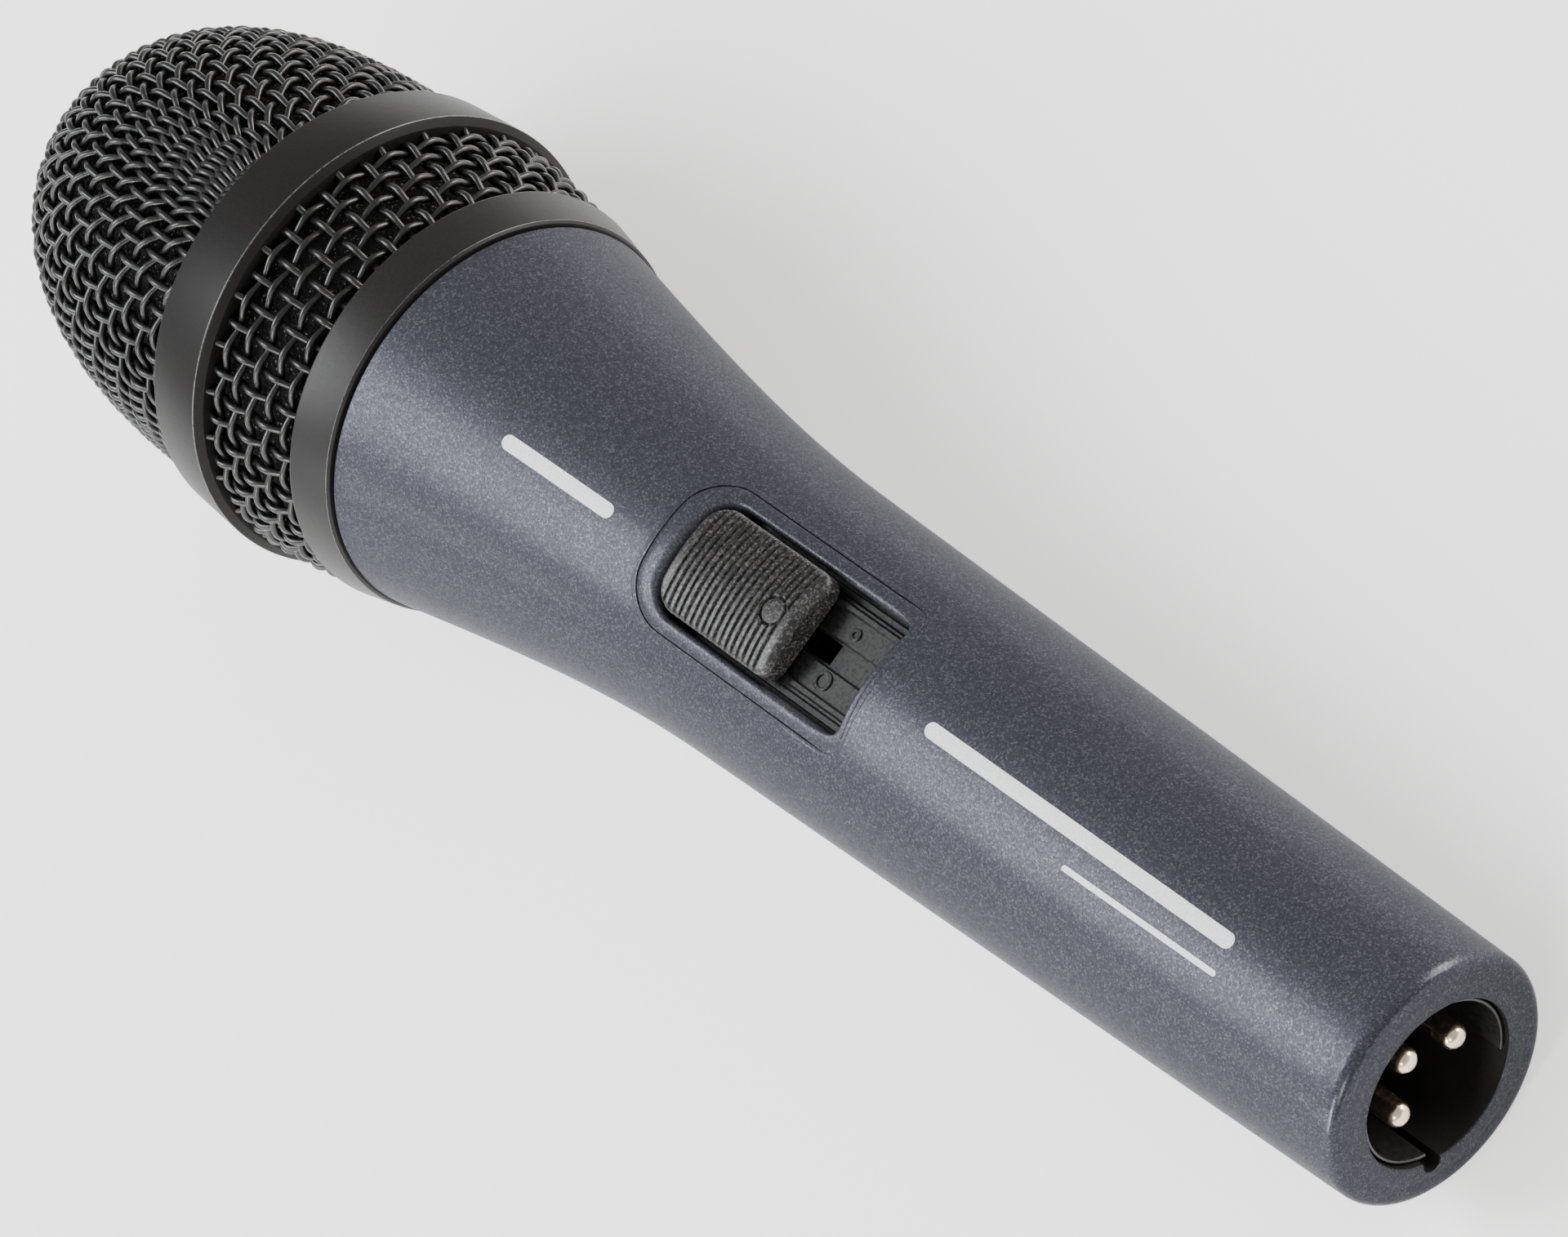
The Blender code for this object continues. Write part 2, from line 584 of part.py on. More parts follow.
def smooth_route(stops, steps=2):
    """Points on a Catmull-Rom curve through the stops."""
    padded = [stops[0], *stops, stops[-1]]
    route = []
    for a, b, c, d in zip(padded, padded[1:], padded[2:], padded[3:]):
        for step in range(steps):
            t = step / steps
            route.append(0.5 * (2 * b + (c - a) * t + (2 * a - 5 * b + 4 * c - d) * t ** 2
                                + (3 * b - a - 3 * c + d) * t ** 3))
    route.append(stops[-1])
    return route


def lead(name, stops, slot, frame):
    """A round insulated lead through the stops, given in millimetres from the tail."""
    curve = bpy.data.curves.new(name, "CURVE")
    curve.dimensions = "3D"
    curve.bevel_depth = LEAD_R * MM
    curve.bevel_resolution = 2
    curve.use_fill_caps = True
    route = smooth_route([Vector(stop) for stop in stops])
    spline = curve.splines.new("POLY")
    spline.points.add(len(route) - 1)
    for point, place in zip(spline.points, route):
        point.co = (*(place * MM), 1.0)
    obj = bpy.data.objects.new(name, curve)
    bpy.context.scene.collection.objects.link(obj)
    obj.parent = frame
    finish(obj, slot)


def leads(frame):
    level = BOARD_TOP - BOARD_THICKNESS / 2
    tail, head = BOARD[0] - GAP, BOARD[1] + GAP
    for number, y, slot in (("1", -TERMINAL_Y, "lead_red"), ("2", TERMINAL_Y, "lead_blue")):
        stops = [(TERMINAL_REAR - GAP, y, 0.0), (110.0, y, 0.0), (105.0, y * 1.3, -1.6),
                 (100.0, y * 1.1, 0.2), (97.5, y, level), (head, y, level)]
        lead("capsule_lead_" + number, stops, slot, frame)
    away = PIN_TAIL + GAP
    colors = {"pin_1": "lead_black", "pin_2": "lead_red", "pin_3": "lead_blue"}
    for name, (y, z) in PINS.items():
        stops = [(away, y, z), (away + 3.0, y, z), (away + 10.0, y * 1.2, z * 0.9 - 1.0),
                 (away + 20.0, y * 0.9, z * 0.5 + 0.5), (away + 27.0, y * 0.9, level), (tail, y * 0.9, level)]
        lead("connector_lead_" + name[-1], stops, colors[name], frame)


# ---------------------------------------------------------------- basket

def basket(frame):
    front = COLLAR_FRONT + SPIGOT_LENGTH
    collar = [(COLLAR_REAR, COLLAR_INNER_R), (COLLAR_REAR, HANDLE_END_R), (COLLAR_REAR + 0.45, 20.85),
              (COLLAR_FRONT - 0.4, 21.85), (COLLAR_FRONT, 21.5), (COLLAR_FRONT, SPIGOT_R), (front, SPIGOT_R),
              (front, COLLAR_INNER_R)]
    turned("basket_collar", collar, "black_paint", frame)

    stations = [BAND_REAR + (BAND_FRONT - BAND_REAR) * k / 4 for k in range(5)]
    band = [(x, band_radius(x)) for x in stations]
    band += [(x, r - MESH_THICKNESS) for x, r in reversed(band)]
    turned("basket_band_mesh", band, "wire_paint", frame)

    ring = [(RING_REAR, RING_INNER_R), (RING_REAR, RING_R - 0.46), (RING_REAR + 0.7, RING_R),
            (RING_FRONT - 0.5, RING_R - 0.71), (RING_FRONT, RING_R - 1.11), (RING_FRONT, RING_INNER_R)]
    turned("basket_mid_ring", ring, "black_paint", frame, RING_SIDES)

    outer = dome_points(DOME_REAR, DOME_R, DOME_LENGTH, 10)
    inner = dome_points(DOME_REAR, DOME_R - MESH_THICKNESS, DOME_LENGTH - MESH_THICKNESS, 8)
    turned("basket_dome_mesh", outer[::-1] + inner, "wire_paint", frame)

    slack = MESH_THICKNESS + FOAM_GAP
    outer = dome_points(DOME_REAR, DOME_R - slack, DOME_LENGTH - slack, 7)
    slack += FOAM_THICKNESS
    inner = dome_points(DOME_REAR, DOME_R - slack, DOME_LENGTH - slack, 6)
    skirt = [(FOAM_REAR + 4.0, FOAM_REAR_R + 0.6), (FOAM_REAR, FOAM_REAR_R), (FOAM_REAR, DOME_R - slack)]
    turned("basket_foam", outer[::-1] + skirt + inner, "foam", frame, MEDIUM_ROUND)


def build():
    clear_scene()
    frame = make_frame()
    handle_body(frame)
    connector(frame)
    track_plate(frame)
    thumb_slider(frame)
    switch_works(frame)
    capsule(frame)
    leads(frame)
    basket(frame)


build()
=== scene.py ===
"""Looks of a handheld vocal microphone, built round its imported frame.

Lengths in the functions are millimetres. A "station" is a distance from the tail rim along +X,
+Z is the switch side, and an azimuth is an angle about X from +Y towards +Z.
"""

import json
import math

import bpy
import numpy as np
from mathutils import Matrix, Vector


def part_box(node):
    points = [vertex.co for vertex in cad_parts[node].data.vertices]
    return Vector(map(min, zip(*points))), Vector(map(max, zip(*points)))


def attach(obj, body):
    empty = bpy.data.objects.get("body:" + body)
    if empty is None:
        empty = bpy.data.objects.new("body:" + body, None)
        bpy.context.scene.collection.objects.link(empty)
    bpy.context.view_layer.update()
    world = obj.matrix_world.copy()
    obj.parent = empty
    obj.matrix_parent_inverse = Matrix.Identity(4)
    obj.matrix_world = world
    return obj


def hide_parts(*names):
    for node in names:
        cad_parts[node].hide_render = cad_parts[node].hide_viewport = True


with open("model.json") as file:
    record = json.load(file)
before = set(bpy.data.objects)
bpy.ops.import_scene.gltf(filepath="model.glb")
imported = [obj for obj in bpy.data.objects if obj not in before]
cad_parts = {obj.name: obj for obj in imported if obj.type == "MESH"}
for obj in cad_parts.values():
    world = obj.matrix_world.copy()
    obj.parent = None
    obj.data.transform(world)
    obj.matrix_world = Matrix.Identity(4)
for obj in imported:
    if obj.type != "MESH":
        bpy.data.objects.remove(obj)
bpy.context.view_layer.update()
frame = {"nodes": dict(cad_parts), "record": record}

MM = 0.001
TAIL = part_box("handle_body")[0].x
SMOOTH = 224  # sides of a large turned piece
FINE = 96  # sides of a small turned piece
HOLE_SIDES = 40
PIN_SIDES = 48


def size_of(node):
    """Rear station, front station and radius of a piece that is round about X."""
    low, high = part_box(node)
    return (low.x - TAIL) / MM, (high.x - TAIL) / MM, high.y / MM


# ---- mesh tools

def new_object(name, data):
    obj = bpy.data.objects.new(name, data)
    bpy.context.scene.collection.objects.link(obj)
    return obj


def make_object(name, shape, material=None, angle=30):
    """A mesh object from a shape: points in millimetres about the tail rim's centre, and faces."""
    points, faces = shape
    mesh = bpy.data.meshes.new(name)
    places = np.asarray(points, float) * MM
    places[:, 0] += TAIL
    mesh.from_pydata(places.tolist(), [], [list(face) for face in faces])
    mesh.validate()
    mesh.update()
    mesh.shade_smooth()
    mesh.set_sharp_from_angle(angle=math.radians(angle))
    if material:
        mesh.materials.append(MATERIALS[material])
    return new_object(name, mesh)


def stand_in(name, shape, node, body, slot, angle, material=None):
    """A visible piece that takes a CAD node's place; edges sharper than the angle stay sharp."""
    obj = make_object(name, shape, material or slot, angle)
    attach(obj, body)
    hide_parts(node)
    return obj


def paint_some(obj, name, chosen):
    """Gives the faces whose (station, radius) chosen accepts a second material."""
    obj.data.materials.append(MATERIALS[name])
    for face in obj.data.polygons:
        x, y, z = face.center / MM
        if chosen(x - TAIL / MM, math.hypot(y, z)):
            face.material_index = len(obj.data.materials) - 1


def fillet(corners, steps=6):
    """Outline points from (station, radius, fillet) corners, each fillet an arc."""
    flat = [Vector((x, r)) for x, r, _ in corners]
    points = []
    for k, (x, r, size) in enumerate(corners):
        here = flat[k]
        if not size:
            points.append((x, r))
            continue
        back = (flat[k - 1] - here).normalized()
        ahead = (flat[(k + 1) % len(flat)] - here).normalized()
        spread = back.angle(ahead)
        reach = size / math.tan(spread / 2)
        middle = here + (back + ahead).normalized() * (size / math.sin(spread / 2))
        start = here + back * reach - middle
        end = here + ahead * reach - middle
        sweep = start.angle_signed(end)
        for step in range(steps + 1):
            turn = -sweep * step / steps
            c, s = math.cos(turn), math.sin(turn)
            points.append((middle.x + start.x * c - start.y * s, middle.y + start.x * s + start.y * c))
    return points


def ring_faces(rings, sides, closed=False):
    """Quads that join each ring to the next, and if closed the last to the first."""
    faces = []
    for i in range(rings if closed else rings - 1):
        a, b = i * sides, (i + 1) % rings * sides
        for k in range(sides):
            m = (k + 1) % sides
            faces.append((a + k, a + m, b + m, b + k))
    return faces


def end_faces(rings, sides):
    return [tuple(range(sides))[::-1], tuple(range((rings - 1) * sides, rings * sides))]


def outward(points, faces):
    """The points and faces, with every face turned round if the closed surface is inside out."""
    p = np.asarray(points, float)
    volume = 0.0
    for face in faces:
        a = p[face[0]]
        for k in range(1, len(face) - 1):
            volume += float(np.dot(a, np.cross(p[face[k]], p[face[k + 1]])))
    return points, faces if volume > 0 else [tuple(reversed(face)) for face in faces]


def lathe(outline, sides, center=(0.0, 0.0)):
    """A closed shape: an outline spun about a line along X, on which it may start and end."""
    on_axis = outline[0][1] == 0
    rim = np.array(outline[1:-1] if on_axis else outline)
    angles = np.arange(sides) * math.tau / sides
    x, r = np.repeat(rim[:, :1], sides, 1), rim[:, 1:]
    across = center[0] + r * np.cos(angles), center[1] + r * np.sin(angles)
    points = np.stack([x, *across], 2).reshape(-1, 3).tolist()
    faces = ring_faces(len(rim), sides, closed=not on_axis)
    if on_axis:
        first, last = len(points), len(points) + 1
        points += [(outline[0][0], *center), (outline[-1][0], *center)]
        for k in range(sides):
            m = (k + 1) % sides
            faces += [(first, m, k), (last, first - sides + k, first - sides + m)]
    return outward(points, faces)


def cylinder(start, end, radius, center=(0.0, 0.0)):
    """A cutter for a round hole along X."""
    return lathe([(start, 0.0), (start, radius), (end, radius), (end, 0.0)], HOLE_SIDES, center)


def upright(shape, x, y=0.0):
    """A shape turned about X, stood up along Z at a station."""
    points, faces = shape
    return outward([(x + q, y + r, p) for p, q, r in points], faces)


def bridged(rings, caps=False):
    """Points and faces between closed rings of points that lie one after another."""
    count, sides = len(rings), len(rings[0])
    faces = ring_faces(count, sides)
    points = np.concatenate([np.asarray(ring, float) for ring in rings])
    return outward(points, faces + end_faces(count, sides)) if caps else (points, faces)


def block(low, high):
    corners = [(x, y, z) for x in (low[0], high[0]) for y in (low[1], high[1]) for z in (low[2], high[2])]
    faces = [(0, 1, 3, 2), (4, 6, 7, 5), (0, 4, 5, 1), (2, 3, 7, 6), (0, 2, 6, 4), (1, 5, 7, 3)]
    return outward(corners, faces)


def tube(route, normals, radius, sides, closed=False):
    """A round wire along route, with its first side turned towards the normals."""
    route = np.asarray(route, float)
    normals = np.asarray(normals, float)
    if closed:
        tangents = np.roll(route, -1, 0) - np.roll(route, 1, 0)
    else:
        tangents = np.gradient(route, axis=0)
    tangents /= np.linalg.norm(tangents, axis=1)[:, None]
    normals = normals - tangents * (normals * tangents).sum(1)[:, None]
    normals /= np.linalg.norm(normals, axis=1)[:, None]
    across = np.cross(tangents, normals)
    angles = np.arange(sides) * math.tau / sides
    cosines, sines = np.cos(angles)[None, :, None], np.sin(angles)[None, :, None]
    ring = cosines * normals[:, None] + sines * across[:, None]
    points = (route[:, None] + radius * ring).reshape(-1, 3)
    faces = ring_faces(len(route), sides, closed)
    return points, faces if closed else faces + end_faces(len(route), sides)


def carved(shape, *cutters):
    """What is left of a closed shape once the cutters, closed as well, are taken away."""
    obj = make_object("carved", shape)
    for cutter in cutters:
        tool = make_object("cutter", cutter)
        step = obj.modifiers.new("cut", "BOOLEAN")
        step.operation = "DIFFERENCE"
        step.solver = "EXACT"
        step.object = tool
        bpy.context.view_layer.update()
        graph = bpy.context.evaluated_depsgraph_get()
        result = bpy.data.meshes.new_from_object(obj.evaluated_get(graph))
        obj.modifiers.clear()
        obj.data = result
        bpy.data.objects.remove(tool)
    points = np.array([vertex.co for vertex in obj.data.vertices]) / MM
    points[:, 0] -= TAIL / MM
    faces = [tuple(face.vertices) for face in obj.data.polygons]
    bpy.data.objects.remove(obj)
    return points, faces


def split_in_two(points, faces, choose):
    """The shape of the faces whose middles choose accepts, and the shape of the others."""
    chosen = choose(np.array([points[list(face)].mean(0) for face in faces]))
    parts = []
    for wanted in (chosen, ~chosen):
        some = [faces[i] for i in np.flatnonzero(wanted)]
        used = sorted({v for face in some for v in face})
        place = {v: k for k, v in enumerate(used)}
        parts.append((points[used], [tuple(place[v] for v in face) for face in some]))
    return parts


def joined(shapes):
    """One shape out of many."""
    points, faces, count = [], [], 0
    for places, sides in shapes:
        points.append(np.asarray(places, float))
        faces += [tuple(i + count for i in face) for face in sides]
        count += len(places)
    return np.concatenate(points), faces


# ---- material tools

class Paint:
    """A material in the making: its nodes, its links and its Principled shader."""

    def __init__(self, name, **values):
        self.material = bpy.data.materials.new(name)
        self.material.use_nodes = True
        self.nodes = self.material.node_tree.nodes
        self.links = self.material.node_tree.links
        self.shader = self.nodes["Principled BSDF"]
        for socket, value in values.items():
            if isinstance(value, tuple):
                value = (*value, 1.0)
            self.shader.inputs[socket.replace("_", " ")].default_value = value

    def feed(self, socket, source):
        self.links.new(source, self.shader.inputs[socket])

    def color(self, source, stops):
        self.feed("Base Color", self.ramp(source, stops))

    def rough(self, source, low, high):
        """Roughness from a source, by a (source value, roughness) pair at each end."""
        self.feed("Roughness", self.ramp(source, [low, high]))

    def linked(self, kind, socket, source, **values):
        """A new node with one socket fed by source and others set to values."""
        made = self.nodes.new(kind)
        for name, value in values.items():
            made.inputs[name.replace("_", " ")].default_value = value
        self.links.new(source, made.inputs[socket])
        return made

    def place(self):
        return self.nodes.new("ShaderNodeTexCoord").outputs["Object"]

    def texture(self, kind, scale, **values):
        """A 3-D texture in the object's own coordinates, whose scale is per metre."""
        return self.linked("ShaderNodeTex" + kind, "Vector", self.place(), Scale=scale, **values)

    def noise(self, scale, detail):
        return self.texture("Noise", scale, Detail=detail).outputs["Fac"]

    def cells(self, scale):
        """Three random values, each constant within a cell."""
        color = self.texture("Voronoi", scale).outputs["Color"]
        split = self.linked("ShaderNodeSeparateColor", "Color", color)
        return split.outputs["Red"], split.outputs["Green"], split.outputs["Blue"]

    def ramp(self, source, stops):
        made = self.linked("ShaderNodeValToRGB", "Fac", source)
        elements = made.color_ramp.elements
        while len(elements) < len(stops):
            elements.new(0.5)
        for element, (place, value) in zip(elements, stops):
            element.position = place
            element.color = (*value, 1.0) if isinstance(value, tuple) else (value, value, value, 1.0)
        return made.outputs["Color"]

    def bump(self, height, strength, distance, below=None):
        """Raises the surface by height, on top of the bump below; distance is in millimetres."""
        made = self.linked("ShaderNodeBump", "Height", height, Strength=strength, Distance=distance * MM)
        if below:
            self.links.new(below, made.inputs["Normal"])
        self.feed("Normal", made.outputs["Normal"])
        return made.outputs["Normal"]

    def scaled_along(self, source, reach, at_tail):
        """The source as it is, but scaled by at_tail on the tail face, fading over reach millimetres."""
        axes = self.linked("ShaderNodeSeparateXYZ", "Vector", self.place())
        fade = self.linked("ShaderNodeMapRange", "Value", axes.outputs["X"], From_Min=TAIL,
                           From_Max=TAIL + reach * MM, To_Min=at_tail, To_Max=1.0)
        fade.interpolation_type = "SMOOTHSTEP"
        scaled = self.nodes.new("ShaderNodeVectorMath")
        scaled.operation = "SCALE"
        self.links.new(source, scaled.inputs[0])
        self.links.new(fade.outputs["Result"], scaled.inputs["Scale"])
        return scaled.outputs["Vector"]


def grey(value):
    return value, value, value


def flake_paint():
    """Blue-grey paint whose flakes vary colour, gloss and slope; glossier at the tail rim, where painted
    shade also darkens it.
    """
    paint = Paint("flake_paint", Metallic=0.55, Specular_IOR_Level=0.12, Specular_Tint=(0.3, 0.3, 0.32),
                  Coat_Weight=0.06, Coat_Roughness=0.18)
    tint, gloss, slope = paint.cells(7000.0)
    color = paint.ramp(tint, [(0.0, (0.035, 0.036, 0.045)), (0.75, (0.052, 0.054, 0.067)),
                              (1.0, (0.093, 0.096, 0.110))])
    # painted shade: the base colour falls to 0.68 of itself on the tail face and fades back over 1 mm
    paint.feed("Base Color", paint.scaled_along(color, 1.0, 0.68))
    rough = paint.ramp(gloss, [(0.0, 0.34), (1.0, 0.52)])
    paint.feed("Roughness", paint.scaled_along(rough, 2.2, 0.5))
    flakes = paint.bump(slope, 0.8, 0.03)
    paint.bump(paint.noise(900.0, 3.0), 0.08, 0.05, flakes)
    return paint.material


def black_paint(name, gloss):
    """Satin black paint with a slight orange peel and a dry, dusty grain."""
    paint = Paint(name, IOR=1.4, Specular_IOR_Level=gloss)
    grain = paint.noise(9000.0, 2.0)
    darker, lighter = (0.007, 0.0065, 0.0065), (0.014, 0.013, 0.0125)
    paint.color(grain, [(0.3, darker), (0.75, lighter)])
    paint.rough(grain, (0.3, 0.34), (0.8, 0.5))
    peel = paint.bump(paint.noise(1400.0, 2.0), 0.25, 0.04)
    paint.bump(grain, 0.18, 0.01, peel)
    return paint.material


def wire_paint():
    """Glossy black paint on steel wire, with small lumps."""
    paint = Paint("wire_paint", Base_Color=(0.0045, 0.0043, 0.0043), Specular_IOR_Level=0.48)
    lumps = paint.noise(2600.0, 3.0)
    paint.rough(lumps, (0.3, 0.25), (0.75, 0.42))
    paint.bump(lumps, 0.3, 0.04)
    return paint.material


def foam_material():
    """Open-cell foam: dark cells, with a few bright specks painted in as glints."""
    paint = Paint("open_cell_foam", Roughness=0.9, Specular_IOR_Level=0.2)
    # painted glints: the brightest few cells are light grey
    paint.color(paint.cells(5200.0)[0], [(0.0, 0.002), (0.93, 0.005), (0.985, (0.10, 0.10, 0.095))])
    paint.bump(paint.texture("Voronoi", 2400.0).outputs["Distance"], 1.0, 0.35)
    return paint.material


def plastic(name, color, roughness, grain_scale=6000.0, grain=0.3, depth=0.02, mottle=0.25):
    paint = Paint(name, Roughness=roughness, Specular_IOR_Level=0.5)
    noise = paint.noise(grain_scale, 3.0)
    darker, lighter = (tuple(share * c for c in color) for share in (1 - mottle, 1 + mottle))
    paint.color(noise, [(0.3, darker), (0.7, lighter)])
    paint.rough(noise, (0.3, roughness - 0.07), (0.7, roughness + 0.1))
    paint.bump(noise, grain, depth)
    return paint.material


def grained_plastic():
    """Black plastic with a coarse spark-eroded grain."""
    paint = Paint("grained_slider_plastic", Specular_IOR_Level=0.38)
    tint, gloss, slope = paint.cells(5600.0)
    paint.color(tint, [(0.0, 0.005), (0.6, (0.013, 0.0125, 0.0125)), (1.0, (0.07, 0.068, 0.068))])
    paint.rough(gloss, (0.0, 0.26), (1.0, 0.5))
    paint.bump(slope, 1.0, 0.06)
    return paint.material


def metal(name, color, roughness, scratch_scale=3000.0):
    """Bare metal with fine scratches."""
    paint = Paint(name, Metallic=1.0, Roughness=roughness)
    noise = paint.noise(scratch_scale, 4.0)
    darker, lighter = (tuple(min(1.0, share * c) for c in color) for share in (0.85, 1.08))
    paint.color(noise, [(0.3, darker), (0.7, lighter)])
    paint.rough(noise, (0.3, roughness - 0.04), (0.7, roughness + 0.08))
    paint.bump(noise, 0.05, 0.005)
    return paint.material


def winding(name, color):
    """Fine enamelled wire wound round X."""
    paint = Paint(name, Base_Color=color, Metallic=0.9, Roughness=0.3)
    turns = paint.texture("Wave", 2200.0, Distortion=0.3)
    turns.bands_direction = "X"
    paint.bump(turns.outputs["Fac"], 0.8, 0.08)
    return paint.material


def felt_material():
    paint = Paint("acoustic_felt", Roughness=0.95, Sheen_Weight=0.3)
    fibres = paint.noise(5000.0, 5.0)
    paint.color(fibres, [(0.3, 0.02), (0.75, 0.09)])
    paint.bump(fibres, 0.8, 0.15)
    return paint.material


MATERIALS = {
    "handle_paint": flake_paint(),
    "black_paint": black_paint("satin_black_paint", 0.3),
    "ring_paint": black_paint("matt_black_paint", 0.13),
    # a lighter grey band for the black rings' rear edges: a painted highlight
    "painted_edge_highlight": plastic("black_edge_painted_highlight", grey(0.05), 0.3, 2500.0, 0.3, 0.02, 0.7),
    "wire_paint": wire_paint(),
    "foam": foam_material(),
    "slider_plastic": grained_plastic(),
    "track_plastic": plastic("track_plastic", grey(0.005), 0.3, 3000.0, 0.06, 0.01),
    "black_plastic": plastic("moulded_black_plastic", grey(0.006), 0.38, 2500.0, 0.12, 0.02),
    "rubber": plastic("soft_rubber", grey(0.016), 0.75, 3500.0, 0.4, 0.04),
    "steel": metal("plain_steel", (0.5, 0.5, 0.51), 0.32),
    "magnet": metal("plated_magnet", (0.42, 0.42, 0.44), 0.25),
    "copper": winding("enamelled_copper", (0.72, 0.33, 0.16)),
    "film": plastic("polyester_film", (0.62, 0.5, 0.27), 0.22, 1500.0, 0.1, 0.02),
    "felt": felt_material(),
    "board": plastic("circuit_board", (0.03, 0.16, 0.06), 0.4, 2500.0, 0.15, 0.02),
    "pin_plating": metal("plated_contact", (0.80, 0.64, 0.48), 0.2, 1800.0),
    "lead_red": plastic("red_insulation", (0.42, 0.03, 0.02), 0.4),
    "lead_blue": plastic("blue_insulation", (0.02, 0.06, 0.35), 0.4),
    "lead_black": plastic("black_insulation", grey(0.015), 0.4),
    "print": plastic("white_print", (0.70, 0.71, 0.73), 0.5, 9000.0, 0.25, 0.01),
}

for part in frame["record"]["subparts"]:
    mesh = frame["nodes"][part["node"]].data
    mesh.materials.clear()
    mesh.materials.append(MATERIALS[part["material_slot"]])
    mesh.polygons.foreach_set("material_index", [0] * len(mesh.polygons))


# ---- camera, light and floor

CAMERA_PLACE = (-295.1, 0.0, 461.8)  # millimetres from the tail rim's centre
CAMERA_PITCH = math.radians(50.4)  # below the horizontal, looking towards the basket
CAMERA_ROLL = math.radians(54.55)
LENS = 150.0
SENSOR = 36.0
FARTHEST = 20.0  # metres
TAIL_REST_R = 12.1  # the tail's radius where it touches the floor
RING_REST = 0.7  # from the mid ring's rear to where it touches the floor
FLOOR_GAP = 0.1
FLOOR_REACH = 6.0  # metres
AMBIENT = 0.66
WHITE = (1.0, 1.0, 1.0)


def add_camera():
    data = bpy.data.cameras.new("camera")
    data.lens = LENS
    data.sensor_width = SENSOR
    data.clip_end = FARTHEST
    ahead = Vector((math.cos(CAMERA_PITCH), 0.0, -math.sin(CAMERA_PITCH)))
    right = Vector((0.0, -1.0, 0.0))
    up = right.cross(ahead)
    turn = Matrix.Rotation(CAMERA_ROLL, 3, ahead)
    right, up = turn @ right, turn @ up
    x, y, z = CAMERA_PLACE
    place = Matrix.Translation((TAIL + x * MM, y * MM, z * MM))
    camera = new_object("camera", data)
    camera.matrix_world = place @ Matrix((right, up, -ahead)).transposed().to_4x4()
    bpy.context.scene.camera = camera


def add_area(name, place, target, size, power, color=WHITE):
    """A rectangular lamp; places and sizes are in metres, about the frame's origin."""
    data = bpy.data.lights.new(name, "AREA")
    data.shape = "RECTANGLE"
    data.size, data.size_y = size
    data.energy = power
    data.color = color
    light = new_object(name, data)
    light.location = place
    light.rotation_euler = (Vector(target) - Vector(place)).to_track_quat("-Z", "Y").to_euler()


def add_floor():
    """A pale floor on which the ring of the basket and the tail rim both rest."""
    ring_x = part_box("basket_mid_ring")[0].x + RING_REST * MM
    ring_r = size_of("basket_mid_ring")[2] * MM
    lean = math.atan2(ring_r - TAIL_REST_R * MM, ring_x - TAIL)
    mesh = bpy.data.meshes.new("floor")
    corners = [(x * FLOOR_REACH, y * FLOOR_REACH, 0) for x, y in ((-1, -1), (1, -1), (1, 1), (-1, 1))]
    mesh.from_pydata(corners, [], [(0, 1, 2, 3)])
    floor = new_object("floor", mesh)
    floor.rotation_euler = (0.0, lean, 0.0)
    floor.location = (ring_x, 0.0, -ring_r - FLOOR_GAP * MM)
    pale = Paint("pale_floor", Base_Color=grey(0.9), Roughness=0.6, Emission_Color=(1.0, 0.985, 0.97),
                 Emission_Strength=0.75)
    mesh.materials.append(pale.material)


def add_lights():
    world = bpy.data.worlds.new("studio")
    bpy.context.scene.world = world
    world.use_nodes = True
    back = world.node_tree.nodes["Background"]
    back.inputs["Color"].default_value = (*WHITE, 1.0)
    back.inputs["Strength"].default_value = AMBIENT
    middle = (0.07, 0.0, 0.0)
    add_area("key", (0.77, 0.56, 0.95), middle, (0.75, 0.75), 26.0, (0.96, 0.98, 1.0))
    add_area("strip", (0.3, 1.15, 0.3), middle, (0.9, 0.3), 5.5, (0.98, 0.99, 1.0))
    add_area("side", (-0.3, -1.15, 0.24), middle, (0.9, 0.4), 21.0, (1.0, 0.93, 0.87))
    add_area("edge", (-0.2, 1.08, 0.42), (-0.016, 0.0, 0.0), (0.16, 0.5), 12.0, (1.0, 0.97, 0.93))
    add_area("front", (-0.7, 0.7, 0.55), (0.03, 0.0, 0.0), (0.22, 0.3), 3.0)


add_camera()
add_floor()
add_lights()


# ---- basket: turned rings

COLLAR_INNER_R = 17.9
SPIGOT = (2.0, 19.4)  # length and radius of the collar's part under the band
RING_INNER_R = 21.4


def add_collar():
    rear, end, radius = size_of("basket_collar")
    front = end - SPIGOT[0]
    outline = fillet([
        (rear, COLLAR_INNER_R, 0.1), (rear, radius - 1.3, 0.05), (rear + 0.22, radius - 1.02, 0.1),
        (front - 0.3, radius, 0.35), (front, radius - 0.7, 0.15), (front, SPIGOT[1], 0.1),
        (end, SPIGOT[1], 0.1), (end, COLLAR_INNER_R, 0.1)])
    collar = stand_in("collar", lathe(outline, SMOOTH), "basket_collar", "basket", "black_paint", 30)
    # a painted highlight: a thin lighter band round the collar's rear edge
    paint_some(collar, "painted_edge_highlight", lambda x, r: rear + 0.15 < x < rear + 0.3 and r > radius - 1.2)


def add_mid_ring():
    rear, front, radius = size_of("basket_mid_ring")
    outline = fillet([
        (rear, RING_INNER_R, 0.1), (rear, radius - 0.85, 0.1), (rear + 0.6, radius - 0.02, 0.14),
        (front - 0.1, radius - 0.5, 0.3), (front, radius - 1.2, 0.15), (front, RING_INNER_R, 0.1)])
    ring = stand_in("mid_ring", lathe(outline, SMOOTH), "basket_mid_ring", "basket", "black_paint", 30,
                    "ring_paint")
    # a painted highlight: a thin lighter band on the ring's rear chamfer
    paint_some(ring, "painted_edge_highlight", lambda x, r: rear + 0.5 < x < rear + 0.68 and r > radius - 0.3)


# ---- basket: woven wire

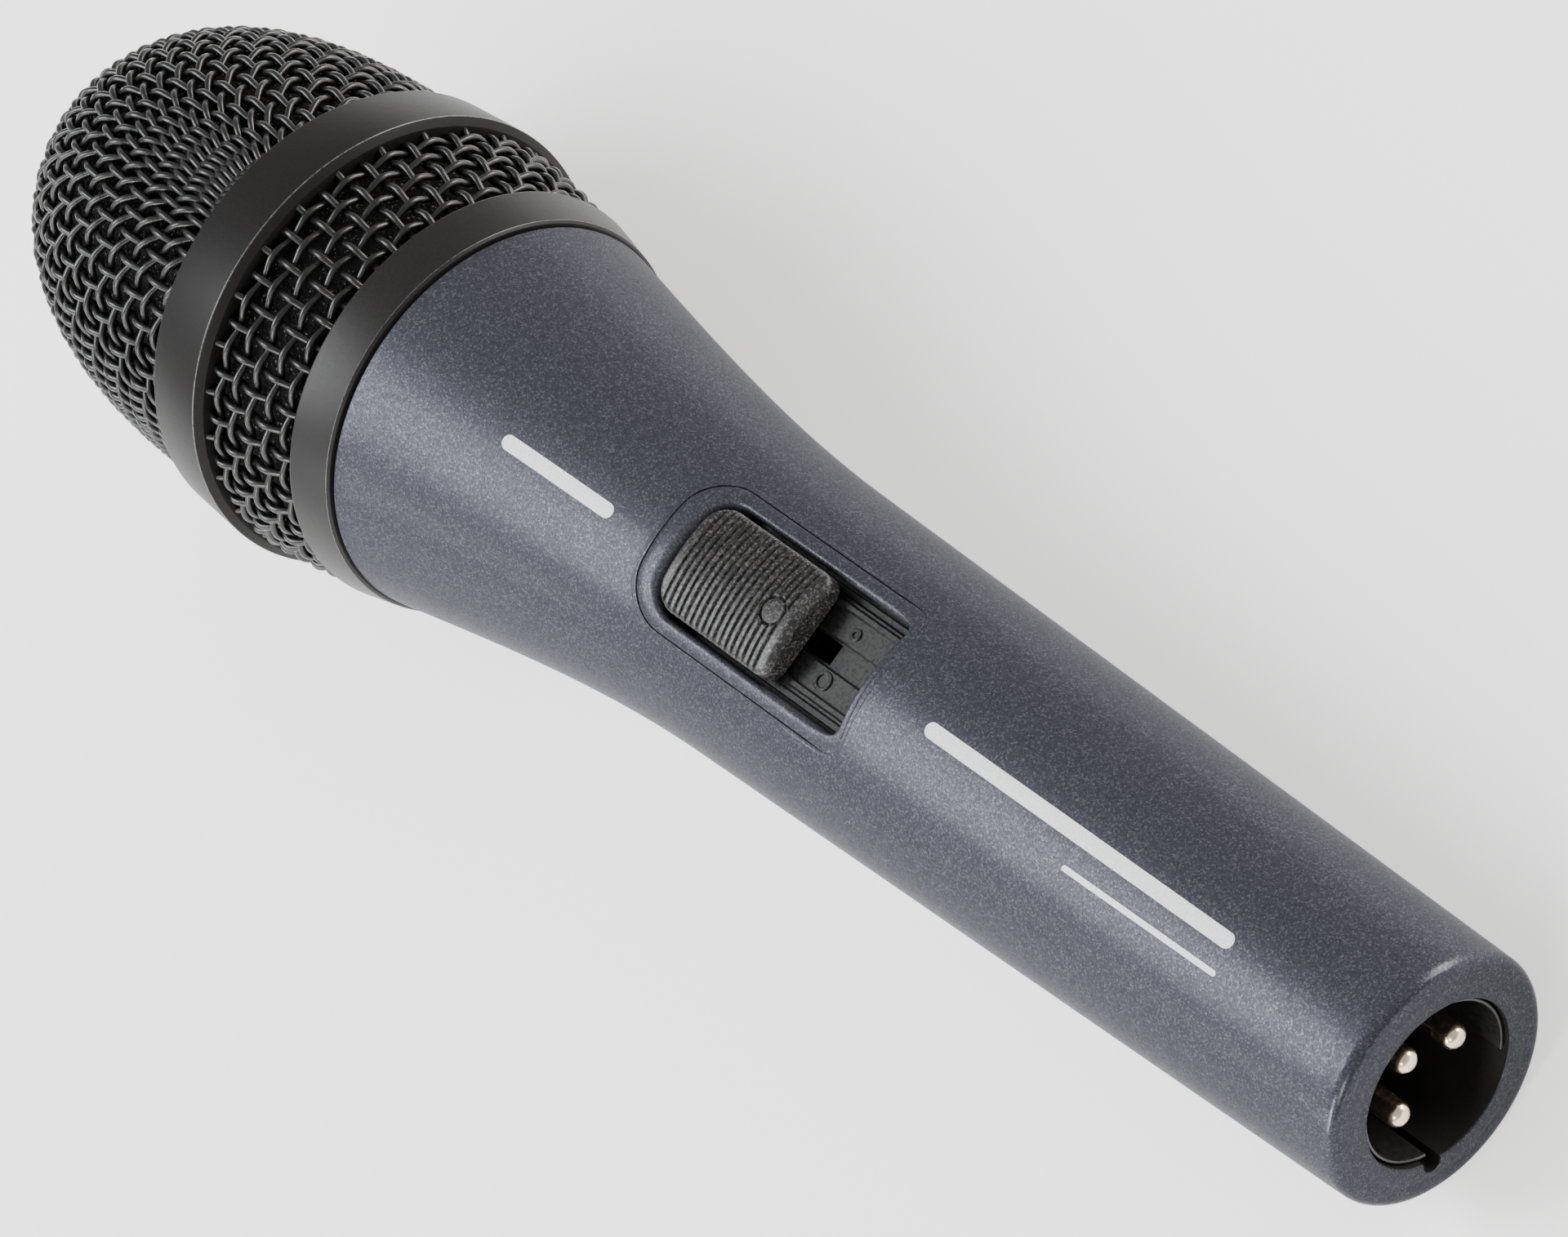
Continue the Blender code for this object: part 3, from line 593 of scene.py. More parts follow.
WIRE_R = 0.37
PITCH = 2.45
SWING = 0.36  # how far a wire leaves the middle of the weave
LONG_POWER = 2.68  # how blunt the dome is
ROUND_POWER = 2.39
DOME_STEPS = 400
TUCKED = 3.0  # the dome's wires run on this far into the mid ring
WIRE_SIDES = 8
CELL_STEPS = 7
WEAVE_AZIMUTH = math.radians(144)
BAND_ROWS = 5
BAND_TAPER = 1.6  # how much narrower the band is at the collar
BAND_BELLY = 0.35
NEWTON_STEPS = 30
LONGEST_MOVE = (1.5, 0.2)  # per Newton step, along the dome and in azimuth
NUDGE = 1e-4
CLOSE_ENOUGH = 1e-5


def arch_height(forward):
    """The dome's radius as a share, at a share of its length."""
    return (1 - forward ** LONG_POWER) ** (1 / ROUND_POWER)


class Dome:
    """Middle surface of the dome's weave, measured by the length along it from its tip."""

    def __init__(self):
        rear, front, radius = size_of("basket_dome_mesh")
        radius = radius - WIRE_R - SWING
        length = front - rear - WIRE_R - SWING
        forward = np.cos(np.linspace(0.0, math.pi / 2, DOME_STEPS))
        x = rear + length * forward
        self.x = np.append(x, x[-1] - TUCKED)
        self.r = np.append(radius * arch_height(forward), radius)
        self.s = np.append(0.0, np.cumsum(np.hypot(np.diff(self.x), np.diff(self.r))))
        self.last = self.s[-1]

    def place(self, s, azimuth):
        x, r = np.interp(s, self.s, self.x), np.interp(s, self.s, self.r)
        return np.array([x, r * math.cos(azimuth), r * math.sin(azimuth)])

    def normal(self, s):
        """The way out of the surface, as (along X, away from X)."""
        slope = self.place(s + 0.05, 0.0) - self.place(max(s - 0.05, 0.0), 0.0)
        normal = np.array([slope[1], -slope[0]])
        if normal[1] < 0:
            normal = -normal
        return normal / np.linalg.norm(normal)


def find_node(dome, one, two, guess):
    """The point on the dome at one pitch from two neighbours, by Newton's method."""
    s, azimuth = guess
    for _ in range(NEWTON_STEPS):
        here = dome.place(s, azimuth)
        gaps = np.array([np.linalg.norm(here - one) - PITCH, np.linalg.norm(here - two) - PITCH])
        if np.abs(gaps).max() < CLOSE_ENOUGH:
            return s, azimuth
        along = (dome.place(s + NUDGE, azimuth) - here) / NUDGE
        round_it = (dome.place(s, azimuth + NUDGE) - here) / NUDGE
        slopes = np.array([[along @ (here - other), round_it @ (here - other)] for other in (one, two)])
        slopes /= PITCH
        try:
            move = np.linalg.solve(slopes, -gaps)
        except np.linalg.LinAlgError:
            return None
        move = np.clip(move, [-LONGEST_MOVE[0], -LONGEST_MOVE[1]], LONGEST_MOVE)
        s, azimuth = s + move[0], azimuth + move[1]
        if s <= 0.0 or s > dome.last + 2 * TUCKED:
            return None
    return None


def net_quarter(dome):
    """Crossings of two families of wires drawn down over a quarter of the dome, cell sides kept equal."""
    count = int(dome.last / PITCH) + 1
    nodes = {(0, 0): (0.0, 0.0)}
    for k in range(1, count + 1):
        nodes[k, 0] = (k * PITCH, 0.0)
        nodes[0, k] = (k * PITCH, math.pi / 2)
    for i in range(1, count * 2):
        for j in range(1, i + 1):
            one, two, behind = nodes.get((i - 1, j)), nodes.get((i, j - 1)), nodes.get((i - 1, j - 1))
            if i == j:
                one = None if two is None else (two[0], math.pi / 2 - two[1])
            if one is None or two is None or behind is None:
                continue
            a, b, c = dome.place(*one), dome.place(*two), dome.place(*behind)
            _, guess_y, guess_z = a + b - c
            farther = max(one[0], two[0])
            guess = (farther + abs(one[0] - behind[0]) * 0.6, math.atan2(guess_z, guess_y))
            found = find_node(dome, a, b, guess)
            if found is None or found[0] < farther - 0.3 * PITCH:
                continue
            nodes[i, j] = found
            nodes[j, i] = (found[0], math.pi / 2 - found[1])
    return nodes


def woven(crossings, phase, closed=False):
    """A wire's route through (place, normal) crossings, waving over and under at each."""
    base, normals = (np.asarray(column, float) for column in zip(*crossings))
    if closed:
        before, after = base[-1:], base[:2]
    else:
        before, after = [2 * base[0] - base[1]], [2 * base[-1] - base[-2]]
    around = np.concatenate([before, base, after])
    spans = len(around) - 3
    route, sides = [], []
    for k in range(spans):
        a, b, c, d = around[k:k + 4]
        n0, n1 = normals[k], normals[(k + 1) % len(base)]
        to_end = not closed and k == spans - 1
        for step in range(CELL_STEPS + to_end):
            t = step / CELL_STEPS
            middle = 0.5 * (2 * b + (c - a) * t + (2 * a - 5 * b + 4 * c - d) * t * t
                            + (3 * b - a - 3 * c + d) * t ** 3)
            normal = n0 * (1 - t) + n1 * t
            normal /= np.linalg.norm(normal)
            sign = 1 if (k + phase) % 2 == 0 else -1
            route.append(middle + normal * sign * SWING * math.cos(math.pi * t))
            sides.append(normal)
    return route, sides


def unbroken(run):
    """A wire's (index, crossing) pairs as stretches without a gap between their indices."""
    stretches = []
    for item in run:
        if stretches and item[0] == stretches[-1][-1][0] + 1:
            stretches[-1].append(item)
        else:
            stretches.append([item])
    return stretches


def add_dome_wires():
    dome = Dome()
    quarter = net_quarter(dome)
    reach = max(i for i, j in quarter)

    def crossing(i, j):
        """Place and normal of a crossing in any quarter."""
        found = quarter.get((abs(i), abs(j)))
        if found is None or found[0] > dome.last:
            return None
        s, azimuth = found
        if i < 0:
            azimuth = math.pi - azimuth
        if j < 0:
            azimuth = -azimuth
        azimuth += WEAVE_AZIMUTH
        lean = dome.normal(s) if s > 0.01 else (1.0, 0.0)
        normal = (lean[0], lean[1] * math.cos(azimuth), lean[1] * math.sin(azimuth))
        return dome.place(s, azimuth), normal

    shapes = []
    for family in (0, 1):
        for row in range(-reach, reach + 1):
            found = [(k, crossing(row, k) if family else crossing(k, row)) for k in range(-reach, reach + 1)]
            run = [item for item in found if item[1] is not None]
            for stretch in unbroken(run):
                if len(stretch) < 3:
                    continue
                phase = (stretch[0][0] + row + family) % 2
                shapes.append(tube(*woven([item[1] for item in stretch], phase), WIRE_R, WIRE_SIDES))
    stand_in("dome_wires", joined(shapes), "basket_dome_mesh", "basket", "wire_paint", 60)


def add_band_wires():
    rear, front, radius = size_of("basket_band_mesh")
    round_count = 2 * round(math.pi * (radius - 1.0) / PITCH)
    pitch = (front - rear) / BAND_ROWS
    stations = [rear + pitch * (k + 0.5) for k in range(BAND_ROWS)]
    angles = [math.tau * k / round_count for k in range(round_count)]

    def on_band(x, angle):
        share = (x - rear) / (front - rear)
        r = radius - BAND_TAPER * (1 - share) - WIRE_R - SWING + BAND_BELLY * math.sin(math.pi * share)
        return (x, r * math.cos(angle), r * math.sin(angle)), (0.0, math.cos(angle), math.sin(angle))

    shapes = []
    for row, x in enumerate(stations):
        route = woven([on_band(x, angle) for angle in angles], row, closed=True)
        shapes.append(tube(*route, WIRE_R, WIRE_SIDES, closed=True))
    along = [rear - 0.3 * pitch] + stations + [front + 0.3 * pitch]
    for column, angle in enumerate(angles):
        route = woven([on_band(x, angle) for x in along], column)
        shapes.append(tube(*route, WIRE_R, WIRE_SIDES))
    stand_in("band_wires", joined(shapes), "basket_band_mesh", "basket", "wire_paint", 60)


FOAM_THICK = 2.75
FOAM_STEPS = 60
FOAM_SIDES = 160


def add_foam():
    """The foam liner, with a rough open-cell surface."""
    rear, front, radius = size_of("basket_foam")
    dome_rear = size_of("basket_dome_mesh")[0]

    def arch(r, length):
        points = []
        for step in range(FOAM_STEPS):
            forward = math.sin(math.pi / 2 * step / FOAM_STEPS)
            points.append((dome_rear + length * forward, r * arch_height(forward)))
        return points + [(dome_rear + length, 0.0)]

    outer = arch(radius, front - dome_rear)
    inner = arch(radius - FOAM_THICK, front - dome_rear - FOAM_THICK)
    outline = outer[::-1] + [(rear + 9.0, radius - 0.1), (rear + 4.0, radius - 0.3), (rear, radius - 0.8)]
    outline += [(rear, radius - FOAM_THICK)] + inner
    foam = stand_in("foam_liner", lathe(outline, FOAM_SIDES), "basket_foam", "basket", "foam", 80)


# ---- handle

HANDLE_SIDES = 256
BORE_R = 8.15
SEAT = 16.2  # where the connector's face lies in the bore
TAIL_R = 12.11  # radius that the straight taper has at the tail rim
TAIL_EDGE = 1.3  # rounding of the tail rim's outer edge
TAIL_STEP = 0.05  # a shallow turned ring on the tail rim's face
TAPER = 0.0275
FLARE_START = 86.0
HANDLE_END = 129.4
HANDLE_END_R = 20.4
FLARE_END_SLOPE = 0.19
NECK_R = 17.6
NECK_INNER_R = 15.6
NECK_END = 137.0
NECK_BACK = 117.0  # where the neck's hollow ends
THREAD = (130.6, 136.4, 0.45)  # start, end and half the pitch of the neck's thread
THREAD_DEPTH = 0.3
SHOULDER = 104.0  # the hollow narrows from the neck to this station
CAVITY_START = 28.5
BORE_END = 26.0
WINDOW = (64.0, 90.0, 5.95)  # tail end, head end, half width
WINDOW_CORNERS = (1.1, 3.0)
LINE = (63.15, 92.6, 7.7)  # the fine line engraved round the window
LINE_CORNERS = (2.0, 4.5)
KEYWAY_ANGLE = math.radians(-47)
KEYWAY_R = 1.0
SCREW_STATION = 20.2
SCREW_LEVELS = [(-15.0, 2.6), (-12.35, 1.6), (-12.1, 1.37), (-5.0, 1.37)]  # (z, radius) of its hole
LINING = (0.1, 27.0, 9.4)  # the black lining of the bore: stations and largest radius


def handle_radius(station):
    if station <= FLARE_START:
        return TAIL_R + TAPER * station
    span = HANDLE_END - FLARE_START
    share = (station - FLARE_START) / span
    start = TAIL_R + TAPER * FLARE_START
    s2, s3 = share ** 2, share ** 3
    return ((2 * s3 - 3 * s2 + 1) * start + (s3 - 2 * s2 + share) * span * TAPER
            + (3 * s2 - 2 * s3) * HANDLE_END_R + (s3 - s2) * span * FLARE_END_SLOPE)


def rounded_outline(tail, head, half, tail_radius, head_radius, corner_steps=16, side_steps=24):
    """A rectangle with rounded corners: (station, y) points, spaced alike on any rectangle."""
    at_head, at_tail = (head - head_radius, head_radius), (tail + tail_radius, tail_radius)
    arcs = []
    for quarter, (x, radius) in enumerate((at_head, at_tail, at_tail, at_head)):
        y = half - radius if quarter < 2 else radius - half
        angles = [math.pi / 2 * (quarter + k / corner_steps) for k in range(corner_steps + 1)]
        arcs.append([(x + radius * math.cos(a), y + radius * math.sin(a)) for a in angles])
    points = []
    for place, arc in enumerate(arcs):
        points += arc
        a, b = arc[-1], arcs[(place + 1) % 4][0]
        for k in range(1, side_steps):
            t = k / side_steps
            points.append((a[0] + (b[0] - a[0]) * t, a[1] + (b[1] - a[1]) * t))
    return np.array(points)


def add_handle():
    """The painted body with its bore, keyway, set screw hole and the opening for the switch."""
    face = [(0.0, BORE_R, 0.22), (0.0, 9.3, 0), (0.0, 9.75, 0), (TAIL_STEP, 9.9, 0), (TAIL_STEP, 10.1, 0),
            (0.0, 10.25, 0), (0.0, TAIL_R, TAIL_EDGE)]
    grip = [(x, handle_radius(x), 0) for x in np.linspace(4.0, FLARE_START, 30)[:-1]]
    flare = [(x, handle_radius(x), 0) for x in np.linspace(FLARE_START, HANDLE_END, 40)[:-1]]
    thread = [(x, NECK_R - THREAD_DEPTH * (k % 2), 0) for k, x in enumerate(np.arange(*THREAD))]
    outline = fillet([
        *face, *grip, *flare, (HANDLE_END, HANDLE_END_R, 0.22), (HANDLE_END, NECK_R, 0.1), *thread,
        (NECK_END, NECK_R, 0.4), (NECK_END, NECK_INNER_R, 0.1), (NECK_BACK, NECK_INNER_R, 0),
        (SHOULDER, handle_radius(SHOULDER) - 1.7, 0), (FLARE_START, handle_radius(FLARE_START) - 1.7, 0),
        (CAVITY_START, handle_radius(CAVITY_START) - 1.9, 0), (BORE_END, BORE_R, 0)])
    away = BORE_R + 0.1
    notch = (away * math.cos(KEYWAY_ANGLE), away * math.sin(KEYWAY_ANGLE))
    keyway = cylinder(-1.0, SEAT, KEYWAY_R, notch)
    window = bridged([[(x, y, z) for x, y in rounded_outline(*LINE, *LINE_CORNERS)]
                      for z in (4.0, 22.0)], caps=True)
    screw_hole = bridged([[(SCREW_STATION + r * math.cos(a), r * math.sin(a), z)
                           for a in np.arange(HOLE_SIDES) * math.tau / HOLE_SIDES]
                          for z, r in SCREW_LEVELS], caps=True)
    body = carved(lathe(outline, HANDLE_SIDES), window, keyway, screw_hole)

    def in_lining(middles):
        x, r = middles[:, 0], np.hypot(middles[:, 1], middles[:, 2])
        return (x > LINING[0]) & (x < LINING[1]) & (r < LINING[2])

    lining, skin = split_in_two(*body, in_lining)
    painted = stand_in("handle_skin", skin, "handle_body", "handle", "handle_paint", 40)
    paint_some(painted, "steel", lambda x, r: x > HANDLE_END + 0.15)
    stand_in("bore_lining", lining, "handle_body", "handle", "black_paint", 40)


LINE_DEPTHS = (0.05, 0.15)  # the engraved line's depth at the tail end, and how much deeper elsewhere
EDGE_ROLLS = (0.4, 0.5)  # the window edge's roll, likewise
RIM_LIFT = 0.012  # the band lies this far over the handle's paint
ROLL_STEPS = 8
WINDOW_WALL = 3.0


def add_window_rim():
    """The band between the engraved line and the window, with its edge rolled down into the window."""
    window = rounded_outline(*WINDOW, *WINDOW_CORNERS)
    across = rounded_outline(*LINE, *LINE_CORNERS) - window
    width = np.hypot(across[:, 0], across[:, 1])
    across /= width[:, None]
    # the line fades and the roll tightens towards the window's tail edge
    share = np.clip((window[:, 0] - WINDOW[0] - 0.5) / 2.5, 0.0, 1.0)
    share = share * share * (3 - 2 * share)
    depth = LINE_DEPTHS[0] + LINE_DEPTHS[1] * share
    roll = EDGE_ROLLS[0] + EDGE_ROLLS[1] * share
    rings = []

    def ring(distance, height):
        """A ring at a distance outwards from the window's edge and a height over the handle."""
        places = window + across * distance[:, None]
        radii = np.array([handle_radius(x) for x in places[:, 0]])
        z = np.sqrt(np.maximum((radii + height) ** 2 - places[:, 1] ** 2, 0.0))
        rings.append(np.column_stack([places, z]))

    zero = np.zeros(len(window))
    level = zero + RIM_LIFT
    groove = [(0.6, zero - 0.06), (0.5, level), (0.22, level), (0.14, -0.25 * depth), (0.03, -depth),
              (-0.03, -depth), (-0.14, -0.25 * depth), (-0.22, level)]
    for beside, height in groove:
        ring(width + beside, height)
    ring(roll + 0.45 * (width - 0.22 - roll), level)
    for step in range(ROLL_STEPS + 1):
        turn = math.pi / 2 * step / ROLL_STEPS
        ring(roll * (1 - math.sin(turn)), RIM_LIFT - roll * (1 - math.cos(turn)))
    ring(zero, zero - 1.8)
    ring(zero, zero - WINDOW_WALL)
    ring(zero + 1.0, zero - WINDOW_WALL)
    points, faces = bridged(rings)
    faces = [tuple(reversed(face)) for face in faces]
    stand_in("window_rim", (points, faces), "handle_body", "handle", "handle_paint", 50)


PRINT_LIFT = 0.014
BARS = {  # start, end, azimuth and half width
    "long_bar": (16.5, 55.5, 88.0, 0.75),
    "short_bar": (16.5, 35.5, 74.5, 0.28),
    "upper_bar": (98.0, 112.5, 85.0, 0.75),
}
BAR_CELLS = (90, 9)


def add_bar(name, start, end, azimuth, half):
    """A thin printed bar along the handle, with round ends."""
    columns, rows = BAR_CELLS
    angle = math.radians(azimuth)
    points = []
    for i in range(columns + 1):
        x = start + (end - start) * (0.5 - 0.5 * math.cos(math.pi * i / columns))
        near = min(x - start, end - x, half)
        reach = math.sqrt(max(half ** 2 - (half - near) ** 2, 0.0)) / handle_radius(x)
        r = handle_radius(x) + PRINT_LIFT
        turns = [angle + reach * (2 * j / rows - 1) for j in range(rows + 1)]
        points += [(x, r * math.cos(turn), r * math.sin(turn)) for turn in turns]
    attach(make_object(name, (points, grid_faces(columns + 1, rows + 1)), "print"), "handle")


# ---- thumb switch

CAP = (73.2, 89.4, 5.5)
CAP_CORNERS = (1.6, 2.4)
CAP_TOP_R = 14.9  # the crown's radius across
CAP_BOTTOM = 12.1
CAP_EDGE = 0.4  # rounding of the cap's edge all round
TAIL_ROLL = (1.0, 0.8)  # length and depth of the roll at its tail end
GROOVES = 17
GROOVE_PITCH = 0.82
GROOVE_HALF = 0.2  # as a share of the pitch
GROOVE_DEPTH = 0.3
CROWN = 0.02
FIRST_GROOVE = 1.3  # from the cap's head end
DIMPLE = (76.35, 1.35)  # station and radius
DIMPLE_DEPTH = 0.16
DIMPLE_RING = 0.25  # depth of the fine groove round the dimple
STEM_STATION = 81.0
STEM_HALF = (1.5, 0.7)
STEM_FOOT = 7.7
TRAVEL = 8.5
SLOT_SLACK = 0.5
SLOT_HALF = 1.05
DECK = 11.4


def inside_distance(x, y, tail, head, half, tail_radius, head_radius):
    """How far a point lies inside a rounded rectangle's edge."""
    radius = np.where(x > (tail + head) / 2, head_radius, tail_radius)
    middle, reach = (tail + head) / 2, (head - tail) / 2
    qx = np.abs(x - middle) - reach + radius
    qy = np.abs(y) - half + radius
    return radius - np.hypot(np.maximum(qx, 0), np.maximum(qy, 0)) - np.minimum(np.maximum(qx, qy), 0)


def grid_faces(rows, columns):
    """Quads of a grid of points laid out row by row."""
    corners = [i * columns + j for i in range(rows - 1) for j in range(columns - 1)]
    return [(a, a + 1, a + columns + 1, a + columns) for a in corners]


def cap_grid():
    """Stations and y of the cap's top, closer together at its edges and round the dimple."""
    tail, head, half = CAP
    near_edge = np.array([0.0, 0.004, 0.02, 0.05, 0.08])
    inner = np.arange(0.12, head - tail - 0.1, 0.05)
    x = tail + np.concatenate([near_edge, inner, head - tail - near_edge[::-1]])
    reach = np.full(len(x), half)
    for k, station in enumerate(x):
        for near, corner in zip((station - tail, head - station), CAP_CORNERS):
            if near < corner:
                reach[k] = half - corner + math.sqrt(max(corner ** 2 - (corner - near) ** 2, 0.0))
    v = np.concatenate([np.linspace(0, 1.62, 22) / half, np.linspace(1.8, 5.0, 15) / half,
                        1 - np.array([0.3, 0.2, 0.12, 0.06, 0.02, 0.0]) / half])
    v = np.concatenate([-v[:0:-1], v])
    return np.repeat(x[:, None], len(v), 1), reach[:, None] * v[None, :]


def cap_height(x, y):
    """The cap's crown with its rounded edges, its grooves and its dimple."""
    tail, head, _ = CAP
    edge = np.maximum(inside_distance(x, y, *CAP, *CAP_CORNERS), 0.0)
    z = np.sqrt(CAP_TOP_R ** 2 - y ** 2)
    z -= CAP_EDGE - np.sqrt(np.maximum(CAP_EDGE ** 2 - np.maximum(CAP_EDGE - edge, 0.0) ** 2, 0.0))
    blunt, drop = TAIL_ROLL
    from_tail = np.clip(blunt - (x - tail), 0.0, blunt)
    z -= drop * (blunt - np.sqrt(blunt ** 2 - from_tail ** 2))

    phase = (head - FIRST_GROOVE - x) / GROOVE_PITCH
    index = np.round(phase)
    offset = np.abs(phase - index)
    ribbed = (index >= 0) & (index < GROOVES)
    grooves = np.where(ribbed, np.sin(np.clip(1 - offset / GROOVE_HALF, 0.0, 1.0) * math.pi / 2), 0.0)
    crowns = np.where(ribbed, CROWN + CROWN * np.cos(2 * math.pi * offset), 0.0)
    away = np.hypot(x - DIMPLE[0], y)
    outside = np.clip((away - DIMPLE[1]) / 0.08, 0.0, 1.0)
    z -= outside * (GROOVE_DEPTH * grooves + crowns)
    z -= DIMPLE_DEPTH * (1 - outside)
    z -= DIMPLE_RING * np.clip(1 - np.abs(away - DIMPLE[1]) / 0.16, 0.0, 1.0) ** 0.7
    return z


def add_slider():
    """The thumb cap, crowned and ribbed across, with a plain round dimple, and its stem."""
    x, y = cap_grid()
    rows, columns = x.shape
    top = np.stack([x, y, cap_height(x, y)], 2).reshape(-1, 3)
    index = np.arange(rows * columns).reshape(rows, columns)
    border = np.concatenate([index[0], index[1:, -1], index[-1, -2::-1], index[-2:0:-1, 0]]).tolist()
    skirt = top[border].copy()
    skirt[:, 2] = CAP_BOTTOM
    base, count = len(top), len(border)
    faces = [(a, d, c, b) for a, b, c, d in grid_faces(rows, columns)]
    for k in range(count):
        m = (k + 1) % count
        faces.append((border[k], border[m], base + m, base + k))
    faces.append(tuple(range(base, base + count)))
    cap = outward(np.concatenate([top, skirt]), faces)
    stem = block((STEM_STATION - STEM_HALF[0], -STEM_HALF[1], STEM_FOOT),
                 (STEM_STATION + STEM_HALF[0], STEM_HALF[1], CAP_BOTTOM + 0.1))
    stand_in("thumb_cap", joined([cap, stem]), "thumb_slider", "slider", "slider_plastic", 50)


TRACK_HALF = [(1.3, 10.9), (1.3, DECK), (3.9, DECK), (3.9, 11.8), (4.5, 11.8), (4.5, DECK), (4.9, DECK),
              (4.9, 10.8), (5.6, 10.8), (5.6, 9.6)]  # (y, z) from the channel out past the rail
TRACK_EASE = 0.1
PLATE = (61.0, 94.0, 6.2, 8.6, 9.7)  # tail end, head end, half width, bottom and top of the base
POSTS = (64.0, 91.0)
POST = [(2.4, 0.0), (2.4, 1.9), (8.7, 1.9), (8.7, 0.0)]
POST_SIDES = 32
DECK_RINGS = [(69.6, 2.5, 0.95), (69.6, -2.5, 0.6)]  # station, y and radius of the raised marks
RING_WIDTH = 0.3
RING_HEIGHT = 0.2


def eased(section):
    """A section with the corners between its ends cut off."""
    made = [section[0]]
    for before, corner, after in zip(section, section[1:], section[2:]):
        here = Vector(corner)
        for other in (before, after):
            toward = Vector(other) - here
            made.append(tuple(here + toward.normalized() * min(TRACK_EASE, toward.length / 3)))
    return made + [section[-1]]


def raised_ring(x, y, radius):
    """A low round bead on the deck."""
    foot, top = DECK - 0.1, DECK + RING_HEIGHT
    outline = [(foot, radius), (top - 0.06, radius), (top, radius - 0.08), (top, radius - RING_WIDTH + 0.08),
               (top - 0.06, radius - RING_WIDTH), (foot, radius - RING_WIDTH)]
    return upright(lathe(outline, PIN_SIDES), x, y)


def add_track():
    """The plate under the slider: rails, a channel with the stem's slot, and raised marks."""
    section = eased([(-y, z) for y, z in reversed(TRACK_HALF)] + TRACK_HALF)
    ends = WINDOW[0] + 0.3, WINDOW[1] - 0.3
    plate = bridged([[(x, y, z) for y, z in section] for x in ends], caps=True)
    reach = STEM_HALF[0] + SLOT_SLACK
    slot_tail, slot_head = STEM_STATION - TRAVEL - reach, STEM_STATION + reach
    shapes = [carved(plate, block((slot_tail, -SLOT_HALF, 7.0), (slot_head, SLOT_HALF, 13.0)))]
    tail, head, half, low, high = PLATE
    base = [(tail, head, -half, -SLOT_HALF), (tail, head, SLOT_HALF, half),
            (tail, slot_tail, -SLOT_HALF, SLOT_HALF), (slot_head, head, -SLOT_HALF, SLOT_HALF)]
    shapes += [block((x0, y0, low), (x1, y1, high)) for x0, x1, y0, y1 in base]
    shapes += [upright(lathe(POST, POST_SIDES), x) for x in POSTS]
    shapes += [raised_ring(*mark) for mark in DECK_RINGS]
    stand_in("switch_track", joined(shapes), "track_plate", "handle", "track_plastic", 35)


# ---- capsule

HOUSING_WALL = 0.7
HOUSING_FLOOR = 1.2
HOUSING_HOLE_R = 5.0
GRILLE_FLOOR = 1.4
GRILLE_FIT_R = 12.9
GRILLE_HOLES = 8
GRILLE_HOLE_R = 1.4
GRILLE_HOLE_PLACE = 8.0  # the holes' distance from the axis
GRILLE_CENTRE_R = 2.0
MOUNT_R = 15.2  # the front shock mount inside the handle's neck
MOUNT_LIP = 2.2


def add_round(node, slot, corners):
    stand_in(node + "_round", lathe(fillet(corners), FINE), node, "handle", slot, 40)


def add_capsule():
    """What shows once the basket is off: housing, pierced cap, felt screen and rubber mount."""
    rear, front, radius = size_of("capsule_housing")
    inner, floor = radius - HOUSING_WALL, rear + HOUSING_FLOOR
    add_round("capsule_housing", "black_plastic", [
        (rear, HOUSING_HOLE_R, 0.1), (rear, radius, 0.4), (front, radius, 0.15), (front, inner, 0.1),
        (floor, inner, 0.1), (floor, HOUSING_HOLE_R, 0.1)])

    rear, front, radius = size_of("dust_screen")
    add_round("dust_screen", "felt", [
        (rear, 0.0, 0), (rear, radius, 0.1), (front, radius, 0.35), (front, 0.0, 0)])

    rear, front, radius = size_of("shock_mount_front")
    lip = front - MOUNT_LIP
    add_round("shock_mount_front", "rubber", [
        (rear, GRILLE_FIT_R, 0.2), (rear, MOUNT_R, 0.3), (lip, MOUNT_R, 0.1), (lip, radius, 0.3),
        (front, radius, 0.6), (front, GRILLE_FIT_R, 0.3)])

    rear, front, radius = size_of("capsule_grille")
    back = front - GRILLE_FLOOR
    cap = lathe(fillet([
        (front, 0.0, 0), (front, radius, 0.8), (rear, radius, 0.2), (rear, GRILLE_FIT_R, 0.1),
        (back, GRILLE_FIT_R, 0.1), (back, 0.0, 0)]), FINE)
    cutters = [cylinder(back - 1.0, front + 1.0, GRILLE_CENTRE_R)]
    for k in range(GRILLE_HOLES):
        turn = math.tau * k / GRILLE_HOLES
        place = (GRILLE_HOLE_PLACE * math.cos(turn), GRILLE_HOLE_PLACE * math.sin(turn))
        cutters.append(cylinder(back - 1.0, front + 1.0, GRILLE_HOLE_R, place))
    stand_in("capsule_cap", carved(cap, *cutters), "capsule_grille", "handle", "black_plastic", 40)


# ---- connector

